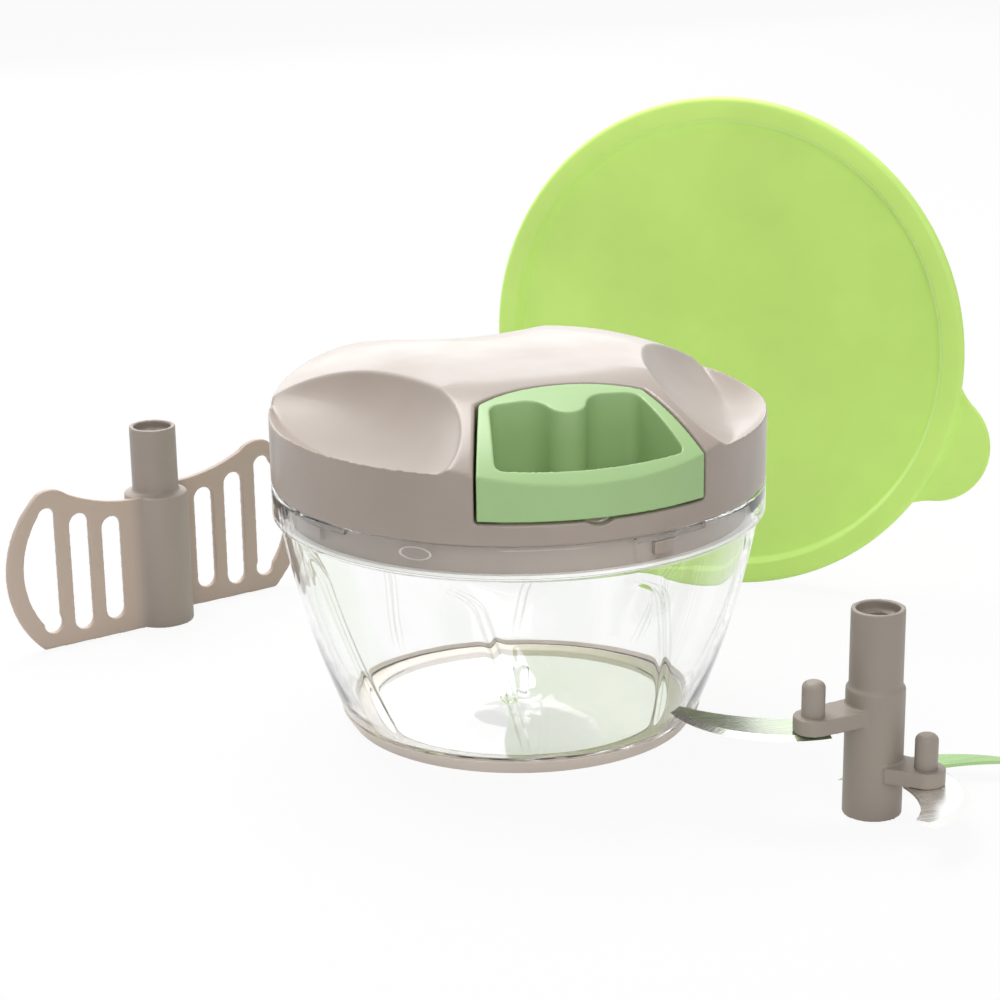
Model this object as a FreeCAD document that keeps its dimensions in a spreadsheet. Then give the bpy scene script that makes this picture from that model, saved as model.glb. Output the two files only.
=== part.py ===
"""Pull-cord food chopper with its blade unit, mixing paddle and storage lid.

FreeCAD 1.1 macro, millimetres. +Z is up, the table is Z = 0 and the bowl's axis is the
Z axis. The pull handle leaves the lid towards -Y. The blade unit, the paddle and the
storage lid stand on the table round the bowl. Every sub-part is an object of one
document whose sizes follow the sheet "Dims", and each is written to parts/NODE.step.
"""
import FreeCAD, Part
import math
import os
from types import SimpleNamespace

import Sketcher
from FreeCAD import Placement, Rotation, Vector

# ------------------------------------------------------------------ driving dimensions
DIMENSIONS = [
    # bowl and foot
    ("foot_radius", 45.6, "outer radius of the foot ring on the table"),
    ("foot_width", 5.2, "width of the foot ring on the table"),
    ("foot_height", 2.8, "height of the foot ring"),
    ("foot_flare", 1.6, "how much wider the foot ring is at its top"),
    ("bowl_base_radius", 47.4, "outer radius of the wall where it meets the foot ring"),
    ("bowl_mid_radius", 57.3, "outer radius of the wall half way up"),
    ("bowl_mid_level", 31, "level where the half-way radius is taken"),
    ("neck_inset", 1.7, "how far the wall under the collar stands in from the collar"),
    ("bowl_neck_level", 57.6, "level where the wall meets the collar"),
    ("bowl_wall", 2.2, "wall thickness of the bowl"),
    ("floor_level", 4.0, "inside floor of the bowl"),
    ("floor_thickness", 2.4, "thickness of the bowl's floor"),
    ("floor_radius", 44.4, "radius of the flat inside floor"),
    ("mouth_inset", 4.8, "how far the mouth under the seal stands in from the collar"),
    ("shoulder_level", 58.4, "level of the shoulder that carries the seal"),
    ("rim_level", 66.8, "top edge of the bowl's collar"),
    ("collar_radius", 65, "outer radius of the collar"),
    ("collar_wall", 1.6, "thickness of the collar"),
    ("collar_step", 1.0, "height of the slope from the wall out to the collar"),
    ("pin_radius", 2.3, "radius of the centre pin"),
    ("pin_top", 12.7, "top of the centre pin"),
    ("pin_flange_radius", 5.3, "radius of the pin's flange"),
    ("pin_flange_height", 0.8, "height of the pin's flange"),
    ("rib_count", 8, "slanted ribs inside the bowl"),
    ("rib_width", 2.0, "width of a rib"),
    ("rib_height", 1.2, "how far a rib stands out of the wall"),
    ("rib_length", 49, "length of a rib"),
    ("rib_lean", 14, "slant of a rib in degrees"),
    # bayonet between lid and bowl
    ("bayonet_count", 4, "lugs on the lid and cams in the collar"),
    ("cam_reach", 1.5, "how far a cam stands in from the collar"),
    ("cam_height", 1.3, "height of a cam"),
    ("cam_top_gap", 0.5, "from the top of a cam to the rim"),
    ("cam_span", 20, "length of a cam in degrees"),
    ("cam_start", -151, "where the first cam starts, degrees from +X"),
    ("lug_reach", 1.4, "how far a lug stands out of the skirt"),
    ("lug_height", 3.2, "height of a lug"),
    ("lug_span", 6, "length of a lug in degrees"),
    ("lug_start", -76, "where the first lug starts, degrees from +X"),
    ("cam_gap", 0.5, "gap between a lug and the cam above it"),
    # lid base
    ("skirt_gap", 1.8, "gap between collar and skirt, where the bayonet works"),
    ("skirt_wall", 2.0, "thickness of the skirt"),
    ("seal_radial_gap", 0.3, "gap between the seal and the collar"),
    ("seal_width", 2.7, "width of the seal ring"),
    ("seal_height", 0.9, "thickness of the seal ring"),
    ("plate_level", 64.6, "underside of the lid base"),
    ("plate_thickness", 2.0, "thickness of the lid base"),
    ("locating_height", 3.4, "height of the ring that centres the cover"),
    ("locating_gap", 0.3, "gap between that ring and the cover's wall"),
    ("hub_radius", 7.5, "outer radius of the bearing hub"),
    ("hub_top", 70.0, "top of the bearing hub"),
    ("screw_inset", 11, "how far the circle of the cover screws stands in from the collar"),
    ("screw_angle", -45, "where the first cover screw stands, degrees from +X"),
    ("screw_radius", 1.2, "radius of the small screws' shanks"),
    ("screw_head_radius", 2.6, "radius of the small screws' heads"),
    ("screw_head_height", 1.6, "height of the small screws' heads"),
    ("cover_screw_length", 12, "shank length of a cover screw"),
    ("screw_clearance", 0.3, "clearance round a screw where it passes a hole"),
    # lid cover
    ("cover_gap", 0.3, "gap between the collar's rim and the cover"),
    ("cover_wall", 2.0, "wall thickness of the cover"),
    ("crown_level", 98.4, "highest level of the cover"),
    ("crown_flat", 20, "half width of the crown's level middle"),
    ("crown_curve", 80, "radius of the crown's roll down to each side"),
    ("back_arch", 240, "radius of the crown's arch behind"),
    ("nose_y", 60, "axis, behind the middle, of the crown's round front"),
    ("nose_flat", 80, "radius round that axis where the front starts to roll down"),
    ("nose_curve", 70, "radius of that roll"),
    ("dip_arch", 178, "radius along Y of the shallow dip behind the crown"),
    ("dip_half", 31, "half width where the rise of the dip is taken"),
    ("dip_rise", 2.6, "rise of the dip from its middle to that half width"),
    ("dip_lift", 0.3, "how far above the crown the dip would start"),
    ("scoop_x", 156.8, "distance of a scoop's centre from the middle"),
    ("scoop_y", -47.7, "place of a scoop's centre along Y"),
    ("scoop_flat", 104.2, "radius of a scoop's flat floor"),
    ("scoop_curve", 30, "radius of a scoop's curved wall"),
    ("scoop_level", 80.8, "floor of a scoop"),
    ("lip_start", 55, "radius where a scoop's floor starts to rise to the edge"),
    ("lip_curve", 13.4, "radius of that rise"),
    ("boss_radius", 3.4, "radius of a screw boss"),
    # pull handle and its recess
    ("handle_level", 73.4, "underside of the handle"),
    ("handle_gap", 0.6, "gap round the handle in its recess"),
    ("handle_front_half", 32.7, "half width of the handle's outline at its front line"),
    ("handle_front_y", -66, "front line of the handle's outline"),
    ("handle_back_half", 21.6, "half width of the handle at its back corners"),
    ("handle_corner_y", -35, "place of the back corners"),
    ("handle_back_y", -29, "back of the handle in the middle"),
    ("grip_front_radius", 61.2, "front of the finger hole in the middle"),
    ("grip_front_half", 24.6, "half width of the finger hole in front"),
    ("grip_front_y", -57.4, "front corners of the finger hole"),
    ("grip_back_half", 19.2, "half width of the finger hole behind"),
    ("grip_back_y", -36.2, "back corners of the finger hole"),
    ("grip_front_round", 2.2, "radius of the hole's front corners"),
    ("grip_back_round", 3.4, "radius of the hole's back corners"),
    ("boss_half", 10.7, "half width at the foot of the cord boss in the handle"),
    ("boss_root_y", -36, "where the cord boss starts"),
    ("boss_bend_half", 7.3, "half width in the middle of the boss's hollow side"),
    ("boss_bend_y", -37.05, "place of that middle"),
    ("boss_side_half", 5.1, "half width where the hollow side meets the boss's round front"),
    ("boss_side_y", -39.8, "place of that meeting"),
    ("boss_front_y", -43.3, "front of the cord boss"),
    ("notch_radius", 6, "radius of the thumb notch under the handle"),
    ("notch_depth", 1.2, "depth of the thumb notch"),
    ("knot_y", -35.2, "place of the cord's knot"),
    ("knot_radius", 2.7, "radius of the knot"),
    ("knot_bore", 3.2, "radius of the knot's chamber"),
    ("plug_height", 2.0, "height of the plug under the knot"),
    ("plug_gap", 0.05, "gap round the plug"),
    # cord
    ("cord_radius", 1.1, "radius of the pull cord"),
    ("cord_level", 80, "level of the cord"),
    ("cord_gap", 0.4, "clearance round the cord in a hole"),
    ("wind_radius", 20, "radius at which the cord leaves the reel"),
    ("winding_radius", 18.6, "outer radius of the cord wound on the reel"),
    ("guide_radius", 2.6, "outer radius of the cord guide"),
    ("guide_flange", 3.4, "radius of the guide's flange"),
    ("guide_flange_height", 0.8, "thickness of the guide's flange"),
    ("bend_radius", 3.5, "radius of the cord's bend at the guide"),
    # drive
    ("hex_half", 4.0, "half the width across flats of the drive nose"),
    ("nose_level", 53.5, "lower end of the drive nose"),
    ("shaft_radius", 3.95, "radius of the drive spindle in its bush"),
    ("bush_wall", 1.0, "wall of the bush"),
    ("fit_gap", 0.05, "radial running gap of the shafts"),
    ("bush_flange", 6.8, "radius of the bush's flange"),
    ("bush_flange_height", 0.7, "thickness of the bush's flange"),
    ("end_gap", 0.3, "axial gap between turning pieces"),
    ("wheel_thickness", 3.0, "thickness of the ratchet wheel"),
    ("wheel_teeth", 10, "teeth of the ratchet wheel"),
    ("wheel_tip", 11, "tip radius of the ratchet wheel"),
    ("wheel_root", 8.6, "root radius of the ratchet wheel"),
    ("journal_radius", 3.0, "radius of the spindle inside the reel"),
    ("spindle_top", 91.0, "top of the drive spindle"),
    ("reel_hub", 5.0, "outer radius of the reel's hub"),
    ("reel_radius", 25.4, "radius of the reel's flanges"),
    ("reel_flange", 1.2, "thickness of a reel flange"),
    ("reel_level", 74.5, "underside of the reel's lower flange"),
    ("reel_height", 11.0, "height of the reel over its flanges"),
    ("drum_radius", 15, "radius of the reel's drum"),
    ("winding_gap", 0.2, "gap between the winding and the flanges"),
    ("pawl_circle", 17, "radius of the circle of the pawl pins"),
    ("pawl_thickness", 2.6, "thickness of a pawl"),
    ("pawl_eye", 2.6, "radius of a pawl's eye"),
    ("pawl_pin", 1.1, "radius of a pawl pin"),
    ("pawl_clear", 0.35, "gap between a pawl's tip and the ratchet wheel"),
    ("washer_radius", 5.5, "radius of the reel washer"),
    ("washer_thickness", 0.6, "thickness of the reel washer"),
    ("reel_screw_length", 6, "length of the reel screw in the spindle"),
    # recoil spring
    ("housing_radius", 22.6, "outer radius of the spring housing"),
    ("housing_wall", 1.6, "wall of the spring housing"),
    ("housing_top", 92.8, "top of the spring housing"),
    ("housing_plate", 1.2, "thickness of the housing's plate"),
    ("housing_height", 6.5, "height of the spring housing"),
    ("housing_hole", 7.0, "radius of the hole in the housing's plate"),
    ("ear_circle", 25.5, "radius of the circle of the housing screws"),
    ("ear_radius", 3.0, "radius of an ear of the housing"),
    ("ear_count", 3, "ears of the housing"),
    ("housing_screw_length", 3.0, "shank length of a housing screw"),
    ("spring_turns", 7, "turns of the recoil spring"),
    ("spring_strip", 0.4, "thickness of the spring strip"),
    ("spring_width", 4.0, "width of the spring strip"),
    ("spring_bore", 5.6, "inner radius of the spring"),
    ("spring_gap", 0.6, "gap between the spring and the housing's plate"),
    # blade unit
    ("blade_x", 60.0, "place of the blade unit"),
    ("blade_y", -96.1, "place of the blade unit"),
    ("column_radius", 7.4, "radius of the blade unit's column"),
    ("column_step", 33.9, "height of the column's step"),
    ("column_height", 53.5, "height of the column"),
    ("neck_radius", 6.7, "radius of both units' necks"),
    ("neck_bevel", 0.8, "height of the slope at the step"),
    ("mouth_bore", 5.4, "radius of the neck's open mouth"),
    ("mouth_depth", 2.6, "depth of the open mouth"),
    ("socket_gap", 0.25, "gap round the drive nose in a socket"),
    ("socket_depth", 14, "depth of the drive socket"),
    ("pin_bore_depth", 10.5, "depth of the bore for the bowl's pin"),
    ("pin_gap", 0.15, "gap between the bowl's pin and that bore"),
    ("arm_thickness", 4.1, "thickness of a blade arm"),
    ("arm_end", 4.9, "radius of an arm's rounded end"),
    ("peg_radius", 2.9, "radius of a peg's head"),
    ("peg_shank", 1.5, "radius of a peg in its arm"),
    ("peg_height", 8.8, "height of a peg above its arm"),
    ("peg_round", 1.7, "radius of the rounding on a peg's head"),
    ("blade_thickness", 0.9, "thickness of a blade"),
    ("blade_reach", 50.3, "reach of the longest blade from the column's axis"),
    # mixing paddle
    ("paddle_x", -76.2, "place of the mixing paddle"),
    ("paddle_y", 108.2, "place of the mixing paddle"),
    ("paddle_turn", 197, "direction of its first wing, degrees from +X"),
    ("paddle_radius", 9.2, "radius of the paddle's column"),
    ("paddle_step", 40.1, "height of the paddle column's step"),
    ("paddle_height", 59.1, "height of the paddle's column"),
    ("wing_offset", 4.7, "distance of a wing's middle plane from the axis"),
    ("wing_thickness", 2.0, "thickness of a wing"),
    ("wing_reach", 50.8, "reach of a wing"),
    ("wing_foot", 0.4, "lower edge of a wing above the table"),
    ("slot_half", 3.1, "half width of a wing's slots"),
    # storage lid
    ("storage_x", 91.7, "where the storage lid stands"),
    ("storage_y", 84.8, "where the storage lid stands"),
    ("storage_turn", -41, "turn of the storage lid, degrees"),
    ("storage_lean", 2.5, "lean of the storage lid, degrees"),
    ("storage_radius", 73, "outer radius of the storage lid"),
    ("storage_panel", 65.4, "radius of the storage lid's panel"),
    ("storage_wall", 1.5, "thickness of the storage lid"),
    ("storage_step", 2.6, "height of the rim above the panel"),
    ("storage_bead", 1.7, "radius of the rolled bead"),
    ("storage_skirt", 7.5, "depth of the skirt that grips the collar"),
    ("storage_fit", 0.3, "gap between that skirt and the collar"),
    ("tab_reach", 86.2, "reach of the pull tab"),
    ("tab_shoulder", 76.5, "reach of the tab's shoulders"),
    ("tab_half", 15.2, "half width of the tab at its shoulders"),
    ("tab_angle", -20.5, "direction of the tab, degrees"),
    ("tab_spread", 18.3, "half the angle that the tab takes up at the rim, degrees"),
]

doc = FreeCAD.newDocument("PullChopper")
sheet = doc.addObject("Spreadsheet::Sheet", "Dims")
for row, (alias, number, note) in enumerate(DIMENSIONS, start=1):
    sheet.set(f"A{row}", alias)
    sheet.set(f"B{row}", str(number))
    sheet.set(f"C{row}", note)
    sheet.setAlias(f"B{row}", alias)
doc.recompute()


class Size:
    """A length or angle: its value now, and the sheet expression that it follows."""

    def __init__(self, value, text):
        self.value = value
        self.text = text

    def __add__(self, other):
        other = as_size(other)
        return Size(self.value + other.value, f"({self.text} + {other.text})")

    def __sub__(self, other):
        other = as_size(other)
        return Size(self.value - other.value, f"({self.text} - {other.text})")

    def __mul__(self, other):
        other = as_size(other)
        return Size(self.value * other.value, f"({self.text} * {other.text})")

    def __truediv__(self, other):
        other = as_size(other)
        return Size(self.value / other.value, f"({self.text} / {other.text})")

    def __neg__(self):
        return Size(-self.value, f"(-1 * {self.text})")

    def __rsub__(self, other):
        return as_size(other) - self

    def __rtruediv__(self, other):
        return as_size(other) / self

    __radd__ = __add__
    __rmul__ = __mul__


def as_size(number):
    """Lets a plain number stand where a Size is wanted."""
    if isinstance(number, Size):
        return number
    return Size(float(number), f"({float(number)})")


def cosine(angle):
    return Size(math.cos(math.radians(angle.value)), f"cos({angle.text})")


def sine(angle):
    return Size(math.sin(math.radians(angle.value)), f"sin({angle.text})")


def polar(radius, angle):
    """The point at that radius and angle, in degrees."""
    radius, angle = as_size(radius), as_size(angle)
    return (radius * cosine(angle), radius * sine(angle))


dims = SimpleNamespace(**{a: Size(float(sheet.get(a)), f"Dims.{a}") for a, _, _ in DIMENSIONS})

# ------------------------------------------------------------------- modelling helpers
SUBPARTS = []


def keep(obj, label):
    """Marks an object as the finished sub-part of that name."""
    obj.Label = label
    SUBPARTS.append(obj)
    return obj


def bind(obj, **sizes):
    """Sets properties to sizes, and ties them to the sheet."""
    for prop, size in sizes.items():
        size = as_size(size)
        setattr(obj, prop, size.value)
        obj.setExpression(prop, size.text)


def place(obj, x=0, y=0, z=0, turn=0):
    """Moves an object to x, y, z and turns it about Z, in degrees."""
    spot = [as_size(x), as_size(y), as_size(z)]
    obj.Placement = Placement(Vector(*[s.value for s in spot]), Rotation(as_size(turn).value, 0, 0))
    for axis, size in zip("xyz", spot):
        obj.setExpression(f"Placement.Base.{axis}", size.text)
    return obj


def solid(kind, name, x=0, y=0, z=0, turn=0, **sizes):
    """A Part primitive with its sizes tied to the sheet."""
    obj = doc.addObject(f"Part::{kind}", name)
    bind(obj, **sizes)
    return place(obj, x, y, z, turn)


def cylinder(name, radius, height, x=0, y=0, z=0):
    return solid("Cylinder", name, x, y, z, Radius=radius, Height=height)


def cut(name, base, tool):
    obj = doc.addObject("Part::Cut", name)
    obj.Base = base
    obj.Tool = tool
    obj.Refine = True
    return obj


def fuse(name, *shapes):
    obj = doc.addObject("Part::MultiFuse", name)
    obj.Shapes = list(shapes)
    obj.Refine = True
    return obj


def common(name, *shapes):
    obj = doc.addObject("Part::MultiCommon", name)
    obj.Shapes = list(shapes)
    obj.Refine = True
    return obj


def new_body(name):
    return doc.addObject("PartDesign::Body", name)


def origin_plane(body, role):
    return next(f for f in body.Origin.OriginFeatures if f.Role == role)


def sketch_in(body, name, role="XY_Plane", lift=0):
    """A sketch on one of the body's own origin planes, raised by lift."""
    sketch = body.newObject("Sketcher::SketchObject", name)
    sketch.AttachmentSupport = (origin_plane(body, role), [""])
    sketch.MapMode = "FlatFace"
    lift = as_size(lift)
    sketch.AttachmentOffset = Placement(Vector(0, 0, lift.value), Rotation())
    sketch.setExpression("AttachmentOffset.Base.z", lift.text)
    return sketch


def fix_point(sketch, geometry, position, point):
    """Holds one point of the sketch at x, y."""
    for axis, kind, size in ((-2, "DistanceX", point[0]), (-1, "DistanceY", point[1])):
        size = as_size(size)
        if not size.text.startswith("(Dims") and not size.text.startswith("Dims") and size.value == 0:
            sketch.addConstraint(Sketcher.Constraint("PointOnObject", geometry, position, axis))
            continue
        index = sketch.addConstraint(
            Sketcher.Constraint(kind, -1, 1, geometry, position, size.value))
        sketch.setExpression(f"Constraints[{index}]", size.text)


def vector(point):
    return Vector(as_size(point[0]).value, as_size(point[1]).value, 0)


class Arc:
    """A step of an outline: an arc through one point to a corner."""

    def __init__(self, through, corner):
        self.through = through
        self.corner = corner


def outline(sketch, start, *steps):
    """A closed outline of straight steps (x, y) and Arc steps; it closes by itself."""
    last = steps[-1].corner if isinstance(steps[-1], Arc) else steps[-1]
    if last is not start:
        steps = steps + (start,)
    here, ends = start, []
    for step in steps:
        arc = isinstance(step, Arc)
        there = step.corner if arc else step
        if arc:
            curve = Part.Arc(vector(here), vector(step.through), vector(there))
            index = sketch.addGeometry(curve, False)
            swapped = (sketch.getPoint(index, 1) - vector(here)).Length > 1e-6
            ends.append((index, 2, 1) if swapped else (index, 1, 2))
            mark = sketch.addGeometry(Part.Point(vector(step.through)), True)
            sketch.addConstraint(Sketcher.Constraint("PointOnObject", mark, 1, index))
            fix_point(sketch, mark, 1, step.through)
        else:
            index = sketch.addGeometry(Part.LineSegment(vector(here), vector(there)), False)
            ends.append((index, 1, 2))
        fix_point(sketch, index, ends[-1][1], here)
        here = there
    for (one, _, end), (two, begin, _) in zip(ends, ends[1:] + ends[:1]):
        sketch.addConstraint(Sketcher.Constraint("Coincident", one, end, two, begin))
    return sketch


def circle(sketch, centre, radius):
    radius = as_size(radius)
    index = sketch.addGeometry(Part.Circle(vector(centre), Vector(0, 0, 1), radius.value), False)
    fix_point(sketch, index, 3, centre)
    limit = sketch.addConstraint(Sketcher.Constraint("Radius", index, radius.value))
    sketch.setExpression(f"Constraints[{limit}]", radius.text)
    return sketch


def turned(body, name, start, *steps):
    """Adds a ring: the outline (radius, level) revolved about the body's Z axis."""
    sketch = outline(sketch_in(body, name + "Profile", "XZ_Plane"), start, *steps)
    ring = body.newObject("PartDesign::Revolution", name)
    ring.Profile = sketch
    ring.ReferenceAxis = (sketch, ["V_Axis"])
    ring.Angle = 360
    return ring


def padded(body, sketch, name, length):
    """Adds a pad of that height on the sketch."""
    pad = body.newObject("PartDesign::Pad", name)
    pad.Profile = sketch
    bind(pad, Length=length)
    return pad


def pocketed(body, sketch, name, depth):
    """Cuts downwards from the sketch."""
    pocket = body.newObject("PartDesign::Pocket", name)
    pocket.Profile = sketch
    bind(pocket, Length=depth)
    return pocket


def repeated(body, feature, sketch, name, count):
    """Repeats a feature round the sketch's normal at its origin."""
    pattern = body.newObject("PartDesign::PolarPattern", name)
    pattern.Originals = [feature]
    pattern.Axis = (sketch, ["N_Axis"])
    pattern.Angle = 360
    pattern.Occurrences = int(count.value)
    pattern.setExpression("Occurrences", count.text)
    body.Tip = pattern
    return pattern


def ring_sectors(name, inner, outer, level, height, count, start, span):
    """Short pieces of a ring, evenly spaced round the Z axis."""
    pieces = []
    for k in range(int(count.value)):
        turn = start.value + 360.0 / count.value * k
        pieces.append(solid("Cylinder", f"{name}Sector{k}", z=level, turn=turn,
                            Radius=outer, Height=height, Angle=span))
    return cut(name, fuse(name + "Sectors", *pieces),
               cylinder(name + "Bore", inner, height, z=level))


def washer(body, name, inner, outer, low, high):
    """A plain ring between two levels."""
    return turned(body, name, (inner, low), (outer, low), (outer, high), (inner, high))


# ------------------------------------------------------------------------ bowl and foot
d = dims
foot_inner = d.foot_radius - d.foot_width
collar_inner = d.collar_radius - d.collar_wall
bowl_neck_radius = d.collar_radius - d.neck_inset
mouth_radius = d.collar_radius - d.mouth_inset
bowl_mid_inner = d.bowl_mid_radius - d.bowl_wall


def make_foot_ring():
    body = new_body("FootRing")
    turned(body, "FootTurn", (foot_inner, 0), (d.foot_radius, 0),
           (d.foot_radius + d.foot_flare, d.foot_height), (foot_inner, d.foot_height))
    keep(body, "foot_ring")


def make_bowl():
    """Clear bowl: curved wall, collar with bayonet cams, centre pin and slanted ribs."""
    body = new_body("BowlWall")
    flange_top = d.floor_level + d.pin_flange_height
    spigot = foot_inner - d.cover_gap
    turned(body, "BowlTurn",
           (0, d.floor_level - d.floor_thickness),
           (spigot, d.floor_level - d.floor_thickness),
           (spigot, d.foot_height),
           (d.bowl_base_radius, d.foot_height),
           Arc((d.bowl_mid_radius, d.bowl_mid_level), (bowl_neck_radius, d.bowl_neck_level)),
           (d.collar_radius, d.bowl_neck_level + d.collar_step),
           (d.collar_radius, d.rim_level),
           (collar_inner, d.rim_level),
           (collar_inner, d.shoulder_level),
           (mouth_radius, d.shoulder_level),
           Arc((bowl_mid_inner, d.bowl_mid_level), (d.floor_radius, d.floor_level)),
           (d.pin_flange_radius, d.floor_level),
           (d.pin_flange_radius, flange_top),
           (d.pin_radius, flange_top),
           (d.pin_radius, d.pin_top),
           (0, d.pin_top))
    zone = new_body("RibZone")
    bite = d.bowl_wall / 4
    turned(zone, "RibZoneTurn",
           (d.floor_radius - d.rib_height, d.floor_level),
           Arc((bowl_mid_inner - d.rib_height, d.bowl_mid_level),
               (mouth_radius - d.rib_height, d.shoulder_level)),
           (mouth_radius + bite, d.shoulder_level),
           Arc((bowl_mid_inner + bite, d.bowl_mid_level), (d.floor_radius + bite, d.floor_level)))
    slabs = []
    for k in range(int(d.rib_count.value)):
        slab = doc.addObject("Part::Box", f"RibSlab{k}")
        bind(slab, Length=d.collar_radius, Width=d.rib_width, Height=d.rib_length)
        corner = Vector(0, -d.rib_width.value / 2, -d.rib_length.value / 2)
        turn = Rotation(Vector(0, 0, 1), 360.0 / d.rib_count.value * (k + 0.5))
        lean = turn.multiply(Rotation(Vector(1, 0, 0), d.rib_lean.value))
        slab.Placement = Placement(lean.multVec(corner) + Vector(0, 0, d.bowl_mid_level.value), lean)
        slabs.append(slab)
    ribs = common("Ribs", zone, fuse("RibSlabs", *slabs))
    cams = ring_sectors("Cams", collar_inner - d.cam_reach, collar_inner + d.collar_wall / 2,
                        d.rim_level - d.cam_top_gap - d.cam_height, d.cam_height,
                        d.bayonet_count, d.cam_start, d.cam_span)
    keep(fuse("Bowl", body, ribs, cams), "bowl")


# ----------------------------------------------------------------------------- lid base
skirt_radius = collar_inner - d.skirt_gap
skirt_foot = d.shoulder_level + d.seal_height
plate_top = d.plate_level + d.plate_thickness
cover_bore = d.collar_radius - d.cover_wall
screw_circle = d.collar_radius - d.screw_inset
bush_radius = d.shaft_radius + d.fit_gap + d.bush_wall


def make_rim_seal():
    body = new_body("RimSeal")
    outer = collar_inner - d.seal_radial_gap
    low = d.shoulder_level
    washer(body, "SealTurn", outer - d.seal_width, outer, low, low + d.seal_height)
    keep(body, "rim_seal")


def make_lid_base():
    """Plate with bearing hub, skirt in the collar and bayonet lugs."""
    body = new_body("LidPlate")
    centring = cover_bore - d.locating_gap
    centring_top = plate_top + d.cover_gap + d.locating_height
    bore = bush_radius + d.fit_gap
    turned(body, "PlateTurn",
           (bore, d.plate_level),
           (skirt_radius - d.skirt_wall, d.plate_level),
           (skirt_radius - d.skirt_wall, skirt_foot),
           (skirt_radius, skirt_foot),
           (skirt_radius, plate_top + d.cover_gap),
           (centring, plate_top + d.cover_gap),
           (centring, centring_top),
           (centring - d.skirt_wall, centring_top),
           (centring - d.skirt_wall, plate_top),
           (d.hub_radius, plate_top),
           (d.hub_radius, d.hub_top),
           (bore, d.hub_top))
    sketch = circle(sketch_in(body, "ScrewHoleSketch", lift=plate_top + 1),
                    polar(screw_circle, d.screw_angle), d.screw_radius + d.screw_clearance)
    hole = pocketed(body, sketch, "ScrewHole", d.plate_thickness + 2)
    repeated(body, hole, sketch, "ScrewHoles", as_size(4))
    cam_foot = d.rim_level - d.cam_top_gap - d.cam_height
    lugs = ring_sectors("Lugs", skirt_radius - d.skirt_wall / 2, skirt_radius + d.lug_reach,
                        cam_foot - d.cam_gap - d.lug_height, d.lug_height,
                        d.bayonet_count, d.lug_start, d.lug_span)
    keep(fuse("LidBase", body, lugs), "lid_base")


def screw_profile(body, head_low, shank_top, pointing_up=True):
    """Cheese-head screw on the Z axis with its head below its shank, or above it."""
    way = 1 if pointing_up else -1
    neck = head_low + d.screw_head_height * way
    turned(body, "ScrewTurn", (0, head_low), (d.screw_head_radius, head_low),
           (d.screw_head_radius, neck), (d.screw_radius, neck), (d.screw_radius, shank_top),
           (0, shank_top))


def screw_group(label, circle_radius, first_angle, count, head_low, length):
    """Identical screws round the Z axis, as one group of separate solids."""
    screws = []
    for k in range(count):
        body = new_body(f"{label}_{k}")
        screw_profile(body, head_low, head_low + d.screw_head_height + length)
        spot = polar(circle_radius, first_angle + 360.0 / count * k)
        screws.append(place(body, spot[0], spot[1]))
    group = doc.addObject("Part::Compound", label + "_group")
    group.Links = screws
    keep(group, label)


# ---------------------------------------------------------------------------- lid cover
def lying_sketch(name):
    """Sketch in the XZ plane."""
    sketch = doc.addObject("Sketcher::SketchObject", name)
    sketch.Placement = Placement(Vector(0, 0, 0), Rotation(Vector(1, 0, 0), 90))
    return sketch


def arched_back(name, sketch, arch, end):
    """A section carried backwards round a level axis that lies the arch below the crown."""
    sweep = doc.addObject("Part::Revolution", name)
    sweep.Source = sketch
    sweep.Axis = Vector(-1, 0, 0)
    sweep.Solid = True
    sweep.Angle = end
    centre = d.crown_level - arch
    sweep.Base = Vector(0, 0, centre.value)
    sweep.setExpression("Base.z", centre.text)
    return sweep


def make_crown(name, drop):
    """Everything under the cover's crown: level in the middle, rolling down all round."""
    top = d.crown_level - drop
    foot = d.shoulder_level - 10
    middle, end = polar(d.crown_curve, 71), polar(d.crown_curve, 52)
    side = top - d.crown_curve
    reach = d.crown_flat + end[0]
    back, front = lying_sketch(name + "BackSection"), lying_sketch(name + "FrontSection")
    for sketch in (back, front):
        outline(sketch, (-reach, foot), (reach, foot), (reach, side + end[1]),
                Arc((d.crown_flat + middle[0], side + middle[1]), (d.crown_flat, top)),
                (-d.crown_flat, top),
                Arc((-d.crown_flat - middle[0], side + middle[1]), (-reach, side + end[1])))
    ahead = doc.addObject("Part::Extrusion", name + "Front")
    ahead.Base = front
    ahead.Dir = Vector(0, -1, 0)
    ahead.Solid = True
    bind(ahead, LengthFwd=d.collar_radius + 10)
    whole = fuse(name + "Whole", arched_back(name + "Back", back, d.back_arch, 22), ahead)

    nose = new_body(name + "Nose")
    middle, end = polar(d.nose_curve, 68), polar(d.nose_curve, 46)
    centre = top - d.nose_curve
    turned(nose, nose.Name + "Turn", (0, foot), (0, top), (d.nose_flat, top),
           Arc((d.nose_flat + middle[0], centre + middle[1]),
               (d.nose_flat + end[0], centre + end[1])),
           (d.nose_flat + end[0], foot))
    return common(name, whole, place(nose, as_size(0), d.nose_y))


def make_dip(name, drop):
    """The space of the shallow dip behind the crown, between its two edge lines."""
    low = d.crown_level + d.dip_lift - drop
    sketch = lying_sketch(name + "Section")
    right = (d.dip_half, low + d.dip_rise)
    outline(sketch, right, (d.dip_half, sky), (-d.dip_half, sky),
            (-d.dip_half, low + d.dip_rise), Arc((0, low), right))
    return arched_back(name, sketch, d.dip_arch, 24)


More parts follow.
